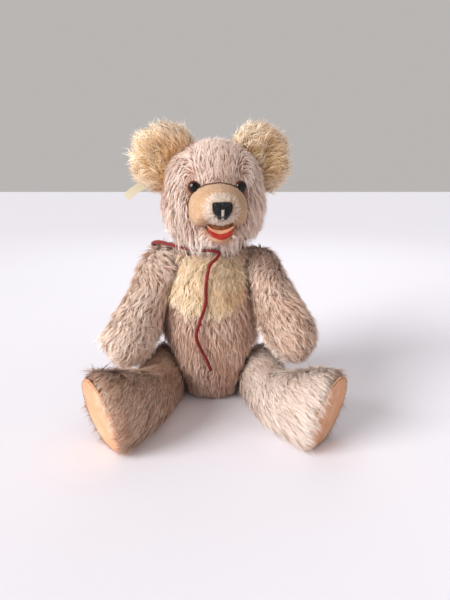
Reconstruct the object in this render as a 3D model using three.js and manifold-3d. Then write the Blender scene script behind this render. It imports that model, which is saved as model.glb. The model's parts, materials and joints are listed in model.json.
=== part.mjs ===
// A threadbare jointed teddy bear, sitting. Millimetres, +Z up, and the bear faces -Y.
// The origin is the middle of the flat of its seat. Left and right are the bear's own: its left is +X.
// Five disc joints (neck, shoulders, hips) let the head, the arms and the legs turn.

import * as THREE from "three";
import { ParametricGeometry } from "three/addons/geometries/ParametricGeometry.js";
import { mergeVertices } from "three/addons/utils/BufferGeometryUtils.js";
import Module from "manifold-3d";

const wasm = await Module();
wasm.setup();

// Cloth, felt and fits
const PELT = 4; // mohair cloth with its pile pressed down
const VELOUR = 3; // clipped cloth of the muzzle
const FELT = 2; // foot and paw pads
const GAP = 0.3; // between neighbours that touch

// Joint hardware: two hardboard discs, two washers and a cotter pin each
const PIN_RADIUS = 1.4;
const PIN_EYE_RADIUS = 3; // the cotter pin's loop
const PIN_CURL_REACH = 6; // how far its bent ends lie from its axis
const PIN_SPARE = 1.5; // pin left past each washer
const WASHER_RADIUS = 5;
const WASHER_THICKNESS = 0.8;
const DISC_THICKNESS = 3;
const NECK_DISC_RADIUS = 18;
const SHOULDER_DISC_RADIUS = 9.5;
const HIP_DISC_RADIUS = 11;

// Torso
const TORSO_HEIGHT = 157; // floor to neck
const TORSO_WIDTH = 98;
const TORSO_DEPTH = 84;
const SHOULDER_HEIGHT = 129;
const SHOULDER_FLAT = 5.5; // how deep the arm's flat is pressed into the side
const SHOULDER_LEAN = THREE.MathUtils.degToRad(17);
const HIP_HEIGHT = 26;
const HIP_FLAT = 11.5;
const HIP_FLAT_RADIUS = 38; // the belly bulges over the leg past this
const HIP_LEAN = THREE.MathUtils.degToRad(15);
const BIB_WIDTH = 68;
const BIB_HEIGHT = 50;
const BIB_DROP = 6; // its top below the neck
const BIB_SHIFT = -3; // sewn in a little off the middle

// Head
const HEAD_TURN = THREE.MathUtils.degToRad(7);
const HEAD_HEIGHT = 101;
const HEAD_WIDTH = 97;
const HEAD_DEPTH = 88;
const NECK_SETBACK = 3; // the neck pin lies behind the middle of the seat
const NECK_SHIFT = 3; // and a little to its left
const MUZZLE_LENGTH = 33; // past the front of the head
const MUZZLE_WIDTH = 54;
const MUZZLE_HEIGHT = 39;
const MUZZLE_RISE = 42; // its middle above the neck
const CHIN_WIDTH = 31;
const CHIN_HEIGHT = 17;
const CHIN_SETBACK = 11; // behind the tip of the muzzle
const CHIN_RISE = 16;
const MOUTH_WIDTH = 25;
const MOUTH_SMILE = 5; // how far its corners turn up
const LIP_HEIGHT = 3.4;
const TONGUE_HEIGHT = 4;
const NOSE_WIDTH = 17;
const NOSE_HEIGHT = 15;
const NOSE_RISE = 39; // its middle above the neck
const NOSE_THICKNESS = 1.8;
const NOSE_WEAR_WIDTH = 2.4; // where the stitches are worn away
const NOSE_WEAR_HEIGHT = 8;
const EYE_DIAMETER = 10.5;
const EYE_SPACING = 43;
const EYE_RISE = 58;
const EYE_DEPTH = 0.68; // the bead is flatter than a ball
const EAR_DIAMETER = 60;
const EAR_THICKNESS = 20;
const EAR_DISH = 5;
const EAR_SPACING = 90;
const EAR_RISE = 82;
const EAR_SETBACK = 6;
const EAR_TURN = THREE.MathUtils.degToRad(14);
const TAG_WIDTH = 8;
const TAG_LENGTH = 19; // past the ear's edge
const TAG_THICKNESS = 0.8;

// Arms
const ARM_LENGTH = 125;
const ARM_WIDTH = 51; // front to back at the paw
const ARM_THICKNESS = 47; // side to side at the paw
const ARM_TOP = 22; // from the pin to the top
const LEFT_ARM_SWING = THREE.MathUtils.degToRad(40); // forward of hanging
const RIGHT_ARM_SWING = THREE.MathUtils.degToRad(22);
const PAW_OUT = 0.54; // the paw's middle lies this share of the thickness out of the torso's side
const PAW_PAD_LENGTH = 34;
const PAW_PAD_WIDTH = 24;
const PALM_TURN = THREE.MathUtils.degToRad(65); // of the palm from facing back to facing the body

// Legs
const LEG_LENGTH = 126; // hip pin to sole
const LEG_THICKNESS = 45; // side to side at the hip
const LEG_HEIGHT = 56; // at the hip
const LEG_SINK = 5; // the stuffing has settled: the leg's middle lies below its pin
const LEG_BACK = 26; // from the pin to the back
const FOOT_LENGTH = 74; // heel to toe
const FOOT_WIDTH = 55;
const FOOT_RISE = 33; // its middle above the floor
const FOOT_ROLL = THREE.MathUtils.degToRad(28); // the toe leans out
const LEFT_LEG_SPLAY = THREE.MathUtils.degToRad(24);
const RIGHT_LEG_SPLAY = THREE.MathUtils.degToRad(18);
const SOLE_TURN = THREE.MathUtils.degToRad(49);
const SOLE_TILT = THREE.MathUtils.degToRad(10); // the toe also lies further out than the heel

// Cord
const CORD_DIAMETER = 3.2;

// Facets round and along each kind of form
const BODY_FACETS = [22, 13];
const LIMB_FACETS = [16, 12];
const FACE_FACETS = [16, 8];
const INNER_FACETS = [10, 7];
const DISC_SIDES = 12;
const SMALL_SIDES = 6;
const CURVE_FACETS = 5;

const point = (x, y, z) => new THREE.Vector3(x, y, z);

function solid(geometry) {
  for (const name of Object.keys(geometry.attributes)) {
    if (name !== "position") geometry.deleteAttribute(name);
  }
  const merged = mergeVertices(geometry);
  const corners = merged.index.array;
  const triangles = [];
  for (let i = 0; i < corners.length; i += 3) {
    const [a, b, c] = corners.slice(i, i + 3);
    if (a !== b && b !== c && c !== a) triangles.push(a, b, c);
  }
  const vertProperties = Float32Array.from(merged.attributes.position.array);
  const triVerts = Uint32Array.from(triangles);
  return new wasm.Manifold(new wasm.Mesh({ numProp: 3, vertProperties, triVerts }));
}

// The largest of the bodies that a cut leaves, without the shavings
function largest(body) {
  const bodies = body.decompose();
  return bodies.reduce((best, next) => (next.volume() > best.volume() ? next : best));
}

function geometryOf(body) {
  const mesh = largest(body).getMesh();
  const geometry = new THREE.BufferGeometry();
  geometry.setAttribute("position", new THREE.BufferAttribute(mesh.vertProperties, 3));
  geometry.setIndex(new THREE.BufferAttribute(mesh.triVerts, 1));
  geometry.computeVertexNormals();
  return geometry;
}

// A sewn and stuffed form: oval sections along a spine, with a domed end at each end of it.
// Each station is { at, half, depth }, with half the size across and half the size along depth.
class StuffedForm {
  constructor(stations, startDome, endDome, facets) {
    this.spine = new THREE.CatmullRomCurve3(stations.map((station) => station.at));
    this.sizes = new THREE.SplineCurve(stations.map(({ half }) => new THREE.Vector2(...half)));
    this.depths = new THREE.CatmullRomCurve3(stations.map((station) => station.depth));
    this.startDome = startDome;
    this.endDome = endDome;
    this.facets = facets;
    this.length = this.spine.getLength();
  }

  // The surface, set in by inset all round (or out, where inset is negative).
  surface(inset, [around, along]) {
    const sidePoint = (u, v, target) => {
      const share = 0.5 - 0.5 * Math.cos(Math.PI * v);
      const run = this.length - 2 * inset;
      const fromStart = share * run;
      const fromEnd = run - fromStart;
      const t = this.spine.getUtoTmapping(0, THREE.MathUtils.clamp(inset + fromStart, 0, this.length));
      const tangent = this.spine.getTangent(t);
      const depth = this.depths.getPoint(t);
      depth.addScaledVector(tangent, -depth.dot(tangent)).normalize();
      const across = depth.clone().cross(tangent);
      const dome = this.domed(fromStart, this.startDome - inset) * this.domed(fromEnd, this.endDome - inset);
      const half = this.sizes.getPoint(t);
      const angle = 2 * Math.PI * (u % 1);
      const overrun = Math.min(0, inset + fromStart) + Math.max(0, inset + fromStart - this.length);
      target.copy(this.spine.getPoint(t));
      target.addScaledVector(tangent, overrun);
      target.addScaledVector(across, dome * (half.x - inset) * Math.cos(angle));
      target.addScaledVector(depth, dome * (half.y - inset) * Math.sin(angle));
    };
    return solid(new ParametricGeometry(sidePoint, around, along));
  }

  domed(distance, dome) {
    const rest = 1 - distance / dome;
    return rest > 0 ? Math.sqrt(Math.max(0, 1 - rest * rest)) : 1;
  }

  outer(growth = 0) {
    return this.surface(-growth, this.facets);
  }

  inner(inset) {
    return this.surface(inset, INNER_FACETS);
  }

  // The middle and the half sizes of an upright form at a height.
  section(height) {
    let low = 0;
    let high = 1;
    for (let i = 0; i < 40; i += 1) {
      const middle = (low + high) / 2;
      if (this.spine.getPoint(middle).z < height) low = middle;
      else high = middle;
    }
    return { at: this.spine.getPoint(low), half: this.sizes.getPoint(low) };
  }

  // The front of an upright form at a place across it and a height.
  frontAt(x, height) {
    const { at, half } = this.section(height);
    return at.y - half.y * Math.sqrt(Math.max(0, 1 - ((x - at.x) / half.x) ** 2));
  }
}

// Half spaces: the part of a body on the side that normal points to, past a point on the plane.
function keep(body, normal, through) {
  return body.trimByPlane([normal.x, normal.y, normal.z], normal.dot(through));
}

const RIGHT = point(1, 0, 0);
const BACK = point(0, 1, 0);
const UP = point(0, 0, 1);
const DOWN = UP.clone().negate();

// A turned body on the X axis. Its profile is [distance along X, radius] and starts and ends on the axis,
// or closes on itself.
function turned(profile, sides) {
  const outline = profile.map(([along, radius]) => new THREE.Vector2(radius, along));
  return solid(new THREE.LatheGeometry(outline, sides).rotateZ(-Math.PI / 2));
}

function ring(bore, radius, from, to, sides) {
  return turned([[from, bore], [from, radius], [to, radius], [to, bore], [from, bore]], sides);
}

function rod(radius, from, to) {
  return turned([[from, 0], [from, radius], [to, radius], [to, 0]], SMALL_SIDES);
}

function tube(route, radius, steps, sides) {
  const round = new THREE.Shape();
  for (let i = 0; i < sides; i += 1) {
    const angle = (2 * Math.PI * i) / sides;
    if (i) round.lineTo(radius * Math.cos(angle), radius * Math.sin(angle));
    else round.moveTo(radius, 0);
  }
  round.closePath();
  return new THREE.ExtrudeGeometry(round, { steps, extrudePath: route, bevelEnabled: false });
}

// A flat outline in X and Z, pushed through from one Y to another.
function prism(outline, fromY, toY) {
  const geometry = new THREE.ExtrudeGeometry(outline, {
    depth: toY - fromY,
    bevelEnabled: false,
    curveSegments: CURVE_FACETS,
  });
  geometry.rotateX(Math.PI / 2);
  geometry.translate(0, toY, 0);
  return solid(geometry);
}

function ellipsoid(half, sides, rows) {
  return new THREE.SphereGeometry(1, sides, rows).scale(half.x, half.y, half.z);
}

// Joint hardware, on the X axis of the joint. The torso lies at -X and the limb at +X, cloth to cloth.
const bodyDiscFace = -(PELT + GAP);
const bodyWasherFace = bodyDiscFace - DISC_THICKNESS - GAP;
const bodyPinEnd = bodyWasherFace - WASHER_THICKNESS - PIN_SPARE;
const limbDiscFace = GAP + PELT + GAP;
const limbWasherFace = limbDiscFace + DISC_THICKNESS + GAP;
const limbPinEnd = limbWasherFace + WASHER_THICKNESS + PIN_SPARE;
const boreRadius = PIN_RADIUS + GAP;
const curlSpace = PIN_CURL_REACH + PIN_RADIUS + GAP;
const eyeSpace = Math.max(PIN_EYE_RADIUS + PIN_RADIUS, WASHER_RADIUS) + GAP;
const bodySpaceEnd = bodyPinEnd - 2 * PIN_RADIUS - PIN_CURL_REACH / 2 - GAP;
const limbSpaceEnd = limbPinEnd + 2 * PIN_EYE_RADIUS + PIN_RADIUS + GAP;

const disc = (radius, face) => ring(boreRadius, radius, face, face + DISC_THICKNESS, DISC_SIDES);
const washer = (face) => ring(boreRadius, WASHER_RADIUS, face, face + WASHER_THICKNESS, SMALL_SIDES);
const discOnBody = (radius) => disc(radius, bodyDiscFace - DISC_THICKNESS);
const discOnLimb = (radius) => disc(radius, limbDiscFace);
const washerOnBody = () => washer(bodyWasherFace - WASHER_THICKNESS);
const washerOnLimb = () => washer(limbWasherFace);
const pinBore = () => rod(boreRadius, bodySpaceEnd, limbSpaceEnd);

function cotterPin() {
  const shank = rod(PIN_RADIUS, bodyPinEnd, limbPinEnd);
  const loop = new THREE.TorusGeometry(PIN_EYE_RADIUS, 0.8 * PIN_RADIUS, 4, 8);
  let pin = shank.add(solid(loop.translate(limbPinEnd + PIN_EYE_RADIUS, 0, 0)));
  for (const side of [-1, 1]) {
    const bend = new THREE.QuadraticBezierCurve3(
      point(bodyPinEnd + PIN_SPARE / 2, 0, 0),
      point(bodyPinEnd - PIN_CURL_REACH, side * 0.3 * PIN_CURL_REACH, 0),
      point(bodyPinEnd, side * PIN_CURL_REACH, 0),
    );
    pin = pin.add(solid(tube(bend, 0.7 * PIN_RADIUS, 3, 4)));
  }
  return pin;
}

// The room that a joint's hardware takes on either side of it, behind a full thickness of cloth.
function bodySpace(discRadius) {
  const discEnd = bodyDiscFace - DISC_THICKNESS - GAP;
  const clothBack = -PELT;
  return turned([
    [bodySpaceEnd, 0],
    [bodySpaceEnd, curlSpace],
    [discEnd, curlSpace],
    [discEnd, discRadius + GAP],
    [clothBack, discRadius + GAP],
    [clothBack, 0],
  ], DISC_SIDES);
}

function limbSpace(discRadius) {
  const discEnd = limbDiscFace + DISC_THICKNESS + GAP;
  const clothBack = GAP + PELT;
  return turned([
    [clothBack, 0],
    [clothBack, discRadius + GAP],
    [discEnd, discRadius + GAP],
    [discEnd, eyeSpace],
    [limbSpaceEnd, eyeSpace],
    [limbSpaceEnd, 0],
  ], DISC_SIDES);
}

// Torso form, from under the seat to above the neck
const torso = new StuffedForm(
  [
    // height, width, depth and set back, as shares of the torso's own sizes
    [-0.05, 0.6, 0.66, 0.0],
    [0.18, 0.82, 0.88, -0.02],
    [0.46, 1.0, 1.0, -0.06],
    [0.71, 0.88, 0.95, -0.02],
    [0.92, 0.74, 0.8, 0.05],
    [1.06, 0.6, 0.64, 0.08],
  ].map(([height, width, depth, back]) => ({
    at: point(0, back * TORSO_DEPTH * 0.5, height * TORSO_HEIGHT),
    half: [width * TORSO_WIDTH * 0.5, depth * TORSO_DEPTH * 0.5],
    depth: BACK,
  })),
  0.12 * TORSO_HEIGHT,
  0.1 * TORSO_HEIGHT,
  BODY_FACETS,
);

// Joint frames: each turns the joint's X axis to lie along the pin, out of the torso
const neckFrame = new THREE.Object3D();
neckFrame.position.set(NECK_SHIFT, NECK_SETBACK, TORSO_HEIGHT);
neckFrame.rotation.set(0, -Math.PI / 2, 0);

const shoulderSection = torso.section(SHOULDER_HEIGHT);
const shoulderFrame = new THREE.Object3D();
shoulderFrame.position.set(shoulderSection.half.x - SHOULDER_FLAT, shoulderSection.at.y, SHOULDER_HEIGHT);
shoulderFrame.rotation.set(0, -SHOULDER_LEAN, 0);

const hipSection = torso.section(HIP_HEIGHT);
const hipFrame = new THREE.Object3D();
hipFrame.position.set(hipSection.half.x - HIP_FLAT, hipSection.at.y, HIP_HEIGHT);
hipFrame.rotation.set(0, HIP_LEAN, 0);

for (const frame of [neckFrame, shoulderFrame, hipFrame]) frame.updateMatrix();

const placed = (body, frame) => body.transform(frame.matrix.elements);
const bothSides = (body) => body.add(body.mirror([1, 0, 0]));
const mirrored = (direction) => direction.clone().setX(-direction.x);

// The round flat that a leg presses into the side, with a wall that slopes out at 45 degrees
function hipHollow(inset) {
  const radius = HIP_FLAT_RADIUS + inset * Math.tan(Math.PI / 8);
  const reach = TORSO_WIDTH / 2;
  return turned([[-inset, 0], [-inset, radius], [reach, radius + reach + inset], [reach, 0]], DISC_SIDES);
}

function pressFlats(body, inset) {
  let flat = keep(body, UP, point(0, 0, inset));
  flat = keep(flat, DOWN, point(0, 0, TORSO_HEIGHT - inset));
  const inward = RIGHT.clone().transformDirection(shoulderFrame.matrix).negate();
  const through = shoulderFrame.position.clone().addScaledVector(inward, inset);
  flat = keep(flat, inward, through);
  flat = keep(flat, mirrored(inward), mirrored(through));
  return flat.subtract(bothSides(placed(hipHollow(inset), hipFrame)));
}

const torsoSpace = placed(bodySpace(NECK_DISC_RADIUS), neckFrame)
  .add(bothSides(placed(bodySpace(SHOULDER_DISC_RADIUS), shoulderFrame)))
  .add(bothSides(placed(bodySpace(HIP_DISC_RADIUS), hipFrame)));
const torsoBores = placed(pinBore(), neckFrame)
  .add(bothSides(placed(pinBore(), shoulderFrame)))
  .add(bothSides(placed(pinBore(), hipFrame)));

function bibOutline(growth) {
  const half = BIB_WIDTH / 2 + growth;
  const top = TORSO_HEIGHT - BIB_DROP + growth;
  const bottom = TORSO_HEIGHT - BIB_DROP - BIB_HEIGHT - growth;
  const drop = top - bottom;
  const outline = new THREE.Shape();
  outline.moveTo(BIB_SHIFT - 0.8 * half, top);
  outline.quadraticCurveTo(BIB_SHIFT - 1.05 * half, top - 0.4 * drop, BIB_SHIFT - 0.86 * half, top - 0.66 * drop);
  outline.quadraticCurveTo(BIB_SHIFT - 0.6 * half, bottom, BIB_SHIFT, bottom);
  outline.quadraticCurveTo(BIB_SHIFT + 0.6 * half, bottom, BIB_SHIFT + 0.86 * half, top - 0.66 * drop);
  outline.quadraticCurveTo(BIB_SHIFT + 1.05 * half, top - 0.4 * drop, BIB_SHIFT + 0.8 * half, top);
  outline.closePath();
  return outline;
}

const torsoCore = pressFlats(torso.inner(PELT), PELT);
const torsoShell = pressFlats(torso.outer(), 0)
  .subtract(torsoCore)
  .subtract(torsoSpace)
  .subtract(torsoBores);
const bibFront = -TORSO_DEPTH;
const torsoSkin = torsoShell.subtract(prism(bibOutline(GAP), bibFront, 0));
const chestBib = torsoShell.intersect(prism(bibOutline(0), bibFront, 0));
const torsoStuffing = pressFlats(torso.inner(PELT + GAP), PELT + GAP).subtract(torsoSpace).subtract(torsoBores);

// Head, in a frame with its origin on the neck pin and the neck's cloth at Z = 0
const skull = new StuffedForm(
  [
    [-0.06, 0.58, 0.64, 0.0],
    [0.2, 0.9, 0.9, -0.02],
    [0.5, 1.0, 1.0, -0.04],
    [0.8, 0.85, 0.88, 0.0],
    [1.0, 0.58, 0.62, 0.04],
  ].map(([height, width, depth, back]) => ({
    at: point(0, back * HEAD_DEPTH * 0.5, height * HEAD_HEIGHT),
    half: [width * HEAD_WIDTH * 0.5, depth * HEAD_DEPTH * 0.5],
    depth: BACK,
  })),
  0.22 * HEAD_HEIGHT,
  0.24 * HEAD_HEIGHT,
  BODY_FACETS,
);
const faceY = skull.frontAt(0, MUZZLE_RISE);
const muzzleTip = faceY - MUZZLE_LENGTH;

const muzzle = new StuffedForm(
  [
    // share of the way from inside the head to the tip, width, height and rise
    [-0.7, 1.0, 1.0, 0.0],
    [0.0, 0.98, 1.0, 0.0],
    [0.5, 0.82, 0.83, -0.02],
    [1.0, 0.6, 0.58, -0.06],
  ].map(([along, width, height, rise]) => ({
    at: point(0, faceY - along * MUZZLE_LENGTH, MUZZLE_RISE + rise * MUZZLE_HEIGHT),
    half: [width * MUZZLE_WIDTH * 0.5, height * MUZZLE_HEIGHT * 0.5],
    depth: UP,
  })),
  0.3 * MUZZLE_LENGTH,
  0.42 * MUZZLE_LENGTH,
  FACE_FACETS,
);

const chinTip = muzzleTip + CHIN_SETBACK;
const chin = new StuffedForm(
  [
    [0.9, 1.0, 1.0],
    [0.45, 1.0, 1.0],
    [0.0, 0.62, 0.72],
  ].map(([back, width, height]) => ({
    at: point(0, chinTip + back * (faceY - chinTip) + back * CHIN_SETBACK, CHIN_RISE),
    half: [width * CHIN_WIDTH * 0.5, height * CHIN_HEIGHT * 0.5],
    depth: UP,
  })),
  0.3 * CHIN_WIDTH,
  0.3 * CHIN_WIDTH,
  FACE_FACETS,
);

// A smiling band across the mouth: its upper edge lies at rise and its corners turn up
function smile(rise, height, width) {
  const half = width / 2;
  const band = new THREE.Shape();
  band.moveTo(-half, rise + MOUTH_SMILE);
  band.quadraticCurveTo(0, rise - MOUTH_SMILE, half, rise + MOUTH_SMILE);
  band.quadraticCurveTo(0.8 * half, rise - height + 0.3 * MOUTH_SMILE, 0, rise - height);
  band.quadraticCurveTo(-0.8 * half, rise - height + 0.3 * MOUTH_SMILE, -half, rise + MOUTH_SMILE);
  return band;
}

// The bowl of the lower jaw, open above, that holds both bands with a clearance
function bowl(rise, bottom, width) {
  const half = width / 2 + GAP;
  const low = bottom - GAP;
  const shape = new THREE.Shape();
  shape.moveTo(half, rise + MOUTH_SMILE);
  shape.lineTo(half, rise + CHIN_HEIGHT);
  shape.lineTo(-half, rise + CHIN_HEIGHT);
  shape.lineTo(-half, rise + MOUTH_SMILE);
  shape.quadraticCurveTo(-0.9 * half, low + 0.1 * MOUTH_SMILE, 0, low);
  shape.quadraticCurveTo(0.9 * half, low + 0.1 * MOUTH_SMILE, half, rise + MOUTH_SMILE);
  return shape;
}

const lipRise = CHIN_RISE + 0.34 * CHIN_HEIGHT;
const tongueRise = lipRise - LIP_HEIGHT - GAP;
const mouthBottom = tongueRise - TONGUE_HEIGHT;
const lipFront = chinTip - 1;
const tongueFront = chinTip - 0.2;
const mouthBack = faceY - GAP;

function eyeFrame(side) {
  const frame = new THREE.Object3D();
  const x = (side * EYE_SPACING) / 2;
  frame.position.set(x, skull.frontAt(x, EYE_RISE) + 0.1 * EYE_DIAMETER, EYE_RISE);
  frame.rotation.set(0, 0, side * 0.42);
  frame.updateMatrix();
  return frame;
}

function eyeBall(side, growth) {
  const radius = EYE_DIAMETER / 2 + growth;
  return placed(solid(ellipsoid(point(radius, EYE_DEPTH * radius, radius), 12, 7)), eyeFrame(side));
}

const neckTrim = (body, inset) => keep(body, UP, point(0, 0, GAP + inset));
const uprightPin = (body) => body.rotate([0, -90, 0]);
const headSpace = uprightPin(limbSpace(NECK_DISC_RADIUS));
const headBore = uprightPin(pinBore());
const skullCore = neckTrim(skull.inner(PELT), PELT);
const eyeSockets = eyeBall(1, GAP).add(eyeBall(-1, GAP));
const mouthSpace = prism(bowl(lipRise, mouthBottom, MOUTH_WIDTH), 2 * chinTip, faceY);

const headSkin = neckTrim(skull.outer(), 0)
  .subtract(skullCore)
  .subtract(muzzle.outer(GAP))
  .subtract(chin.outer(GAP))
  .subtract(eyeSockets)
  .subtract(headSpace)
  .subtract(headBore);
const muzzleCover = muzzle.outer()
  .subtract(muzzle.inner(VELOUR))
  .subtract(skullCore)
  .subtract(eyeSockets);
const chinPad = chin.outer()
  .subtract(skullCore)
  .subtract(muzzle.outer(GAP))
  .subtract(mouthSpace);
const headStuffing = neckTrim(skull.inner(PELT + GAP), PELT + GAP)
  .add(muzzle.inner(VELOUR + GAP))
  .subtract(eyeSockets)
  .subtract(headSpace)
  .subtract(headBore);

function mouthBand(rise, height, width, front) {
  return prism(smile(rise, height, width), front, mouthBack)
    .subtract(muzzle.outer(GAP))
    .subtract(skull.outer(GAP));
}

const lipFelt = mouthBand(lipRise, LIP_HEIGHT, MOUTH_WIDTH, lipFront);
const tongueFelt = mouthBand(tongueRise, TONGUE_HEIGHT, 0.86 * MOUTH_WIDTH, tongueFront);

// The nose: upright stitches side by side on the muzzle, worn away in one place
function noseOutline() {
  const half = NOSE_WIDTH / 2;
  const top = NOSE_RISE + NOSE_HEIGHT / 2;
  const outline = new THREE.Shape();
  outline.moveTo(-0.8 * half, top);
  outline.quadraticCurveTo(-1.1 * half, top, -half, top - 0.35 * NOSE_HEIGHT);
  outline.quadraticCurveTo(-0.7 * half, top - 0.75 * NOSE_HEIGHT, -0.12 * half, top - NOSE_HEIGHT);
  outline.lineTo(0.12 * half, top - NOSE_HEIGHT);
  outline.quadraticCurveTo(0.7 * half, top - 0.75 * NOSE_HEIGHT, half, top - 0.35 * NOSE_HEIGHT);
  outline.quadraticCurveTo(1.1 * half, top, 0.8 * half, top);
  outline.closePath();
  return outline;
}

function noseWear() {
  const half = NOSE_WEAR_WIDTH / 2;
  const bottom = NOSE_RISE - NOSE_HEIGHT / 2 + 0.14 * NOSE_HEIGHT;
  const outline = new THREE.Shape();
  outline.moveTo(-half, bottom);
  outline.lineTo(half, bottom);
  outline.lineTo(half, bottom + NOSE_WEAR_HEIGHT);
  outline.lineTo(-half, bottom + NOSE_WEAR_HEIGHT);
  outline.closePath();
  return outline;
}

const noseBack = muzzleTip + 0.6 * MUZZLE_LENGTH;
const nose = muzzle.outer(GAP + NOSE_THICKNESS)
  .intersect(prism(noseOutline(), 2 * muzzleTip, noseBack))
  .subtract(muzzle.outer(GAP))
  .subtract(prism(noseWear(), 2 * muzzleTip, noseBack));

// Ears: two layers sewn together, dished towards the front and sewn on across the head's corner
function earBody(side, growth) {
  const radius = EAR_DIAMETER / 2 + growth;
  const frame = new THREE.Object3D();
  frame.position.set((side * EAR_SPACING) / 2, EAR_SETBACK, EAR_RISE);
  frame.rotation.set(0, 0, side * EAR_TURN);
  frame.updateMatrix();
  const dishRadius = 0.78 * EAR_DIAMETER;
  const dish = new THREE.SphereGeometry(dishRadius - growth, 14, 11);
  dish.translate(0, EAR_DISH - EAR_THICKNESS / 2 - dishRadius, 0);
  const blank = solid(ellipsoid(point(radius, EAR_THICKNESS / 2 + growth, radius), 16, 8));
  return placed(blank.subtract(solid(dish)), frame);
}

const ear = (side) => earBody(side, 0).subtract(skull.outer(GAP));

// The cloth tag in the seam of the right ear, blank
function earTag() {
  const edge = point(-(EAR_SPACING + 0.8 * EAR_DIAMETER) / 2, EAR_SETBACK, EAR_RISE - 0.42 * EAR_DIAMETER);
  const route = new THREE.QuadraticBezierCurve3(
    edge.clone().add(point(0.3 * TAG_LENGTH, 0, 0.2 * TAG_LENGTH)),
    edge.clone().add(point(-0.4 * TAG_LENGTH, -0.1 * TAG_LENGTH, 0)),
    edge.clone().add(point(-0.86 * TAG_LENGTH, 0.1 * TAG_LENGTH, -0.5 * TAG_LENGTH)),
  );
  const strip = new THREE.Shape();
  strip.moveTo(-TAG_THICKNESS / 2, -TAG_WIDTH / 2);
  strip.lineTo(TAG_THICKNESS / 2, -TAG_WIDTH / 2);
  strip.lineTo(TAG_THICKNESS / 2, TAG_WIDTH / 2);
  strip.lineTo(-TAG_THICKNESS / 2, TAG_WIDTH / 2);
  strip.closePath();
  const body = solid(new THREE.ExtrudeGeometry(strip, { steps: 6, extrudePath: route, bevelEnabled: false }));
  return body.subtract(earBody(-1, GAP)).subtract(skull.outer(GAP));
}

// Arms, in a frame with X along the shoulder pin, out of the torso, and the arm hanging along -Z
const arm = new StuffedForm(
  [
    // share of the way from the top to the paw's end, distance out of the torso, thickness, width, bend to the back
    [0.0, 0.35, 0.72, 0.84, 0.0],
    [0.19, 0.37, 0.78, 0.92, 0.0],
    [0.5, 0.45, 0.88, 0.92, 0.03],
    [0.8, PAW_OUT, 1.0, 1.0, -0.08],
    [1.0, PAW_OUT, 0.9, 0.92, -0.22],
  ].map(([along, out, thickness, width, bend]) => ({
    at: point(out * ARM_THICKNESS, bend * ARM_WIDTH, ARM_TOP - along * ARM_LENGTH),
    half: [thickness * ARM_THICKNESS * 0.5, width * ARM_WIDTH * 0.5],
    depth: BACK,
  })),
  ARM_TOP,
  0.5 * ARM_WIDTH,
  LIMB_FACETS,
);

const limbTrim = (body, inset) => keep(body, RIGHT, point(GAP + inset, 0, 0));
const armSpace = limbSpace(SHOULDER_DISC_RADIUS);
const armCore = limbTrim(arm.inner(PELT), PELT);

// The felt pad lies on the palm, which faces the body and a little to the back
const palmFrame = new THREE.Object3D();
palmFrame.position.set(PAW_OUT * ARM_THICKNESS, -0.1 * ARM_WIDTH, ARM_TOP - 0.83 * ARM_LENGTH);
palmFrame.rotation.set(0, 0, PALM_TURN);
palmFrame.updateMatrix();

function palmPrism(growth) {
  const outline = new THREE.Shape();
  outline.absellipse(0, 0, PAW_PAD_WIDTH / 2 + growth, PAW_PAD_LENGTH / 2 + growth, 0, 2 * Math.PI);
  return placed(prism(outline, 0, ARM_WIDTH), palmFrame);
}

const armShell = limbTrim(arm.outer(), 0)
  .subtract(armCore)
  .subtract(armSpace)
  .subtract(pinBore());
const pawPad = armShell.intersect(palmPrism(0)).subtract(arm.inner(FELT));
const armSkin = armShell.subtract(palmPrism(GAP).subtract(arm.inner(FELT + GAP)));
const armStuffing = limbTrim(arm.inner(PELT + GAP), PELT + GAP).subtract(armSpace);

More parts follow.
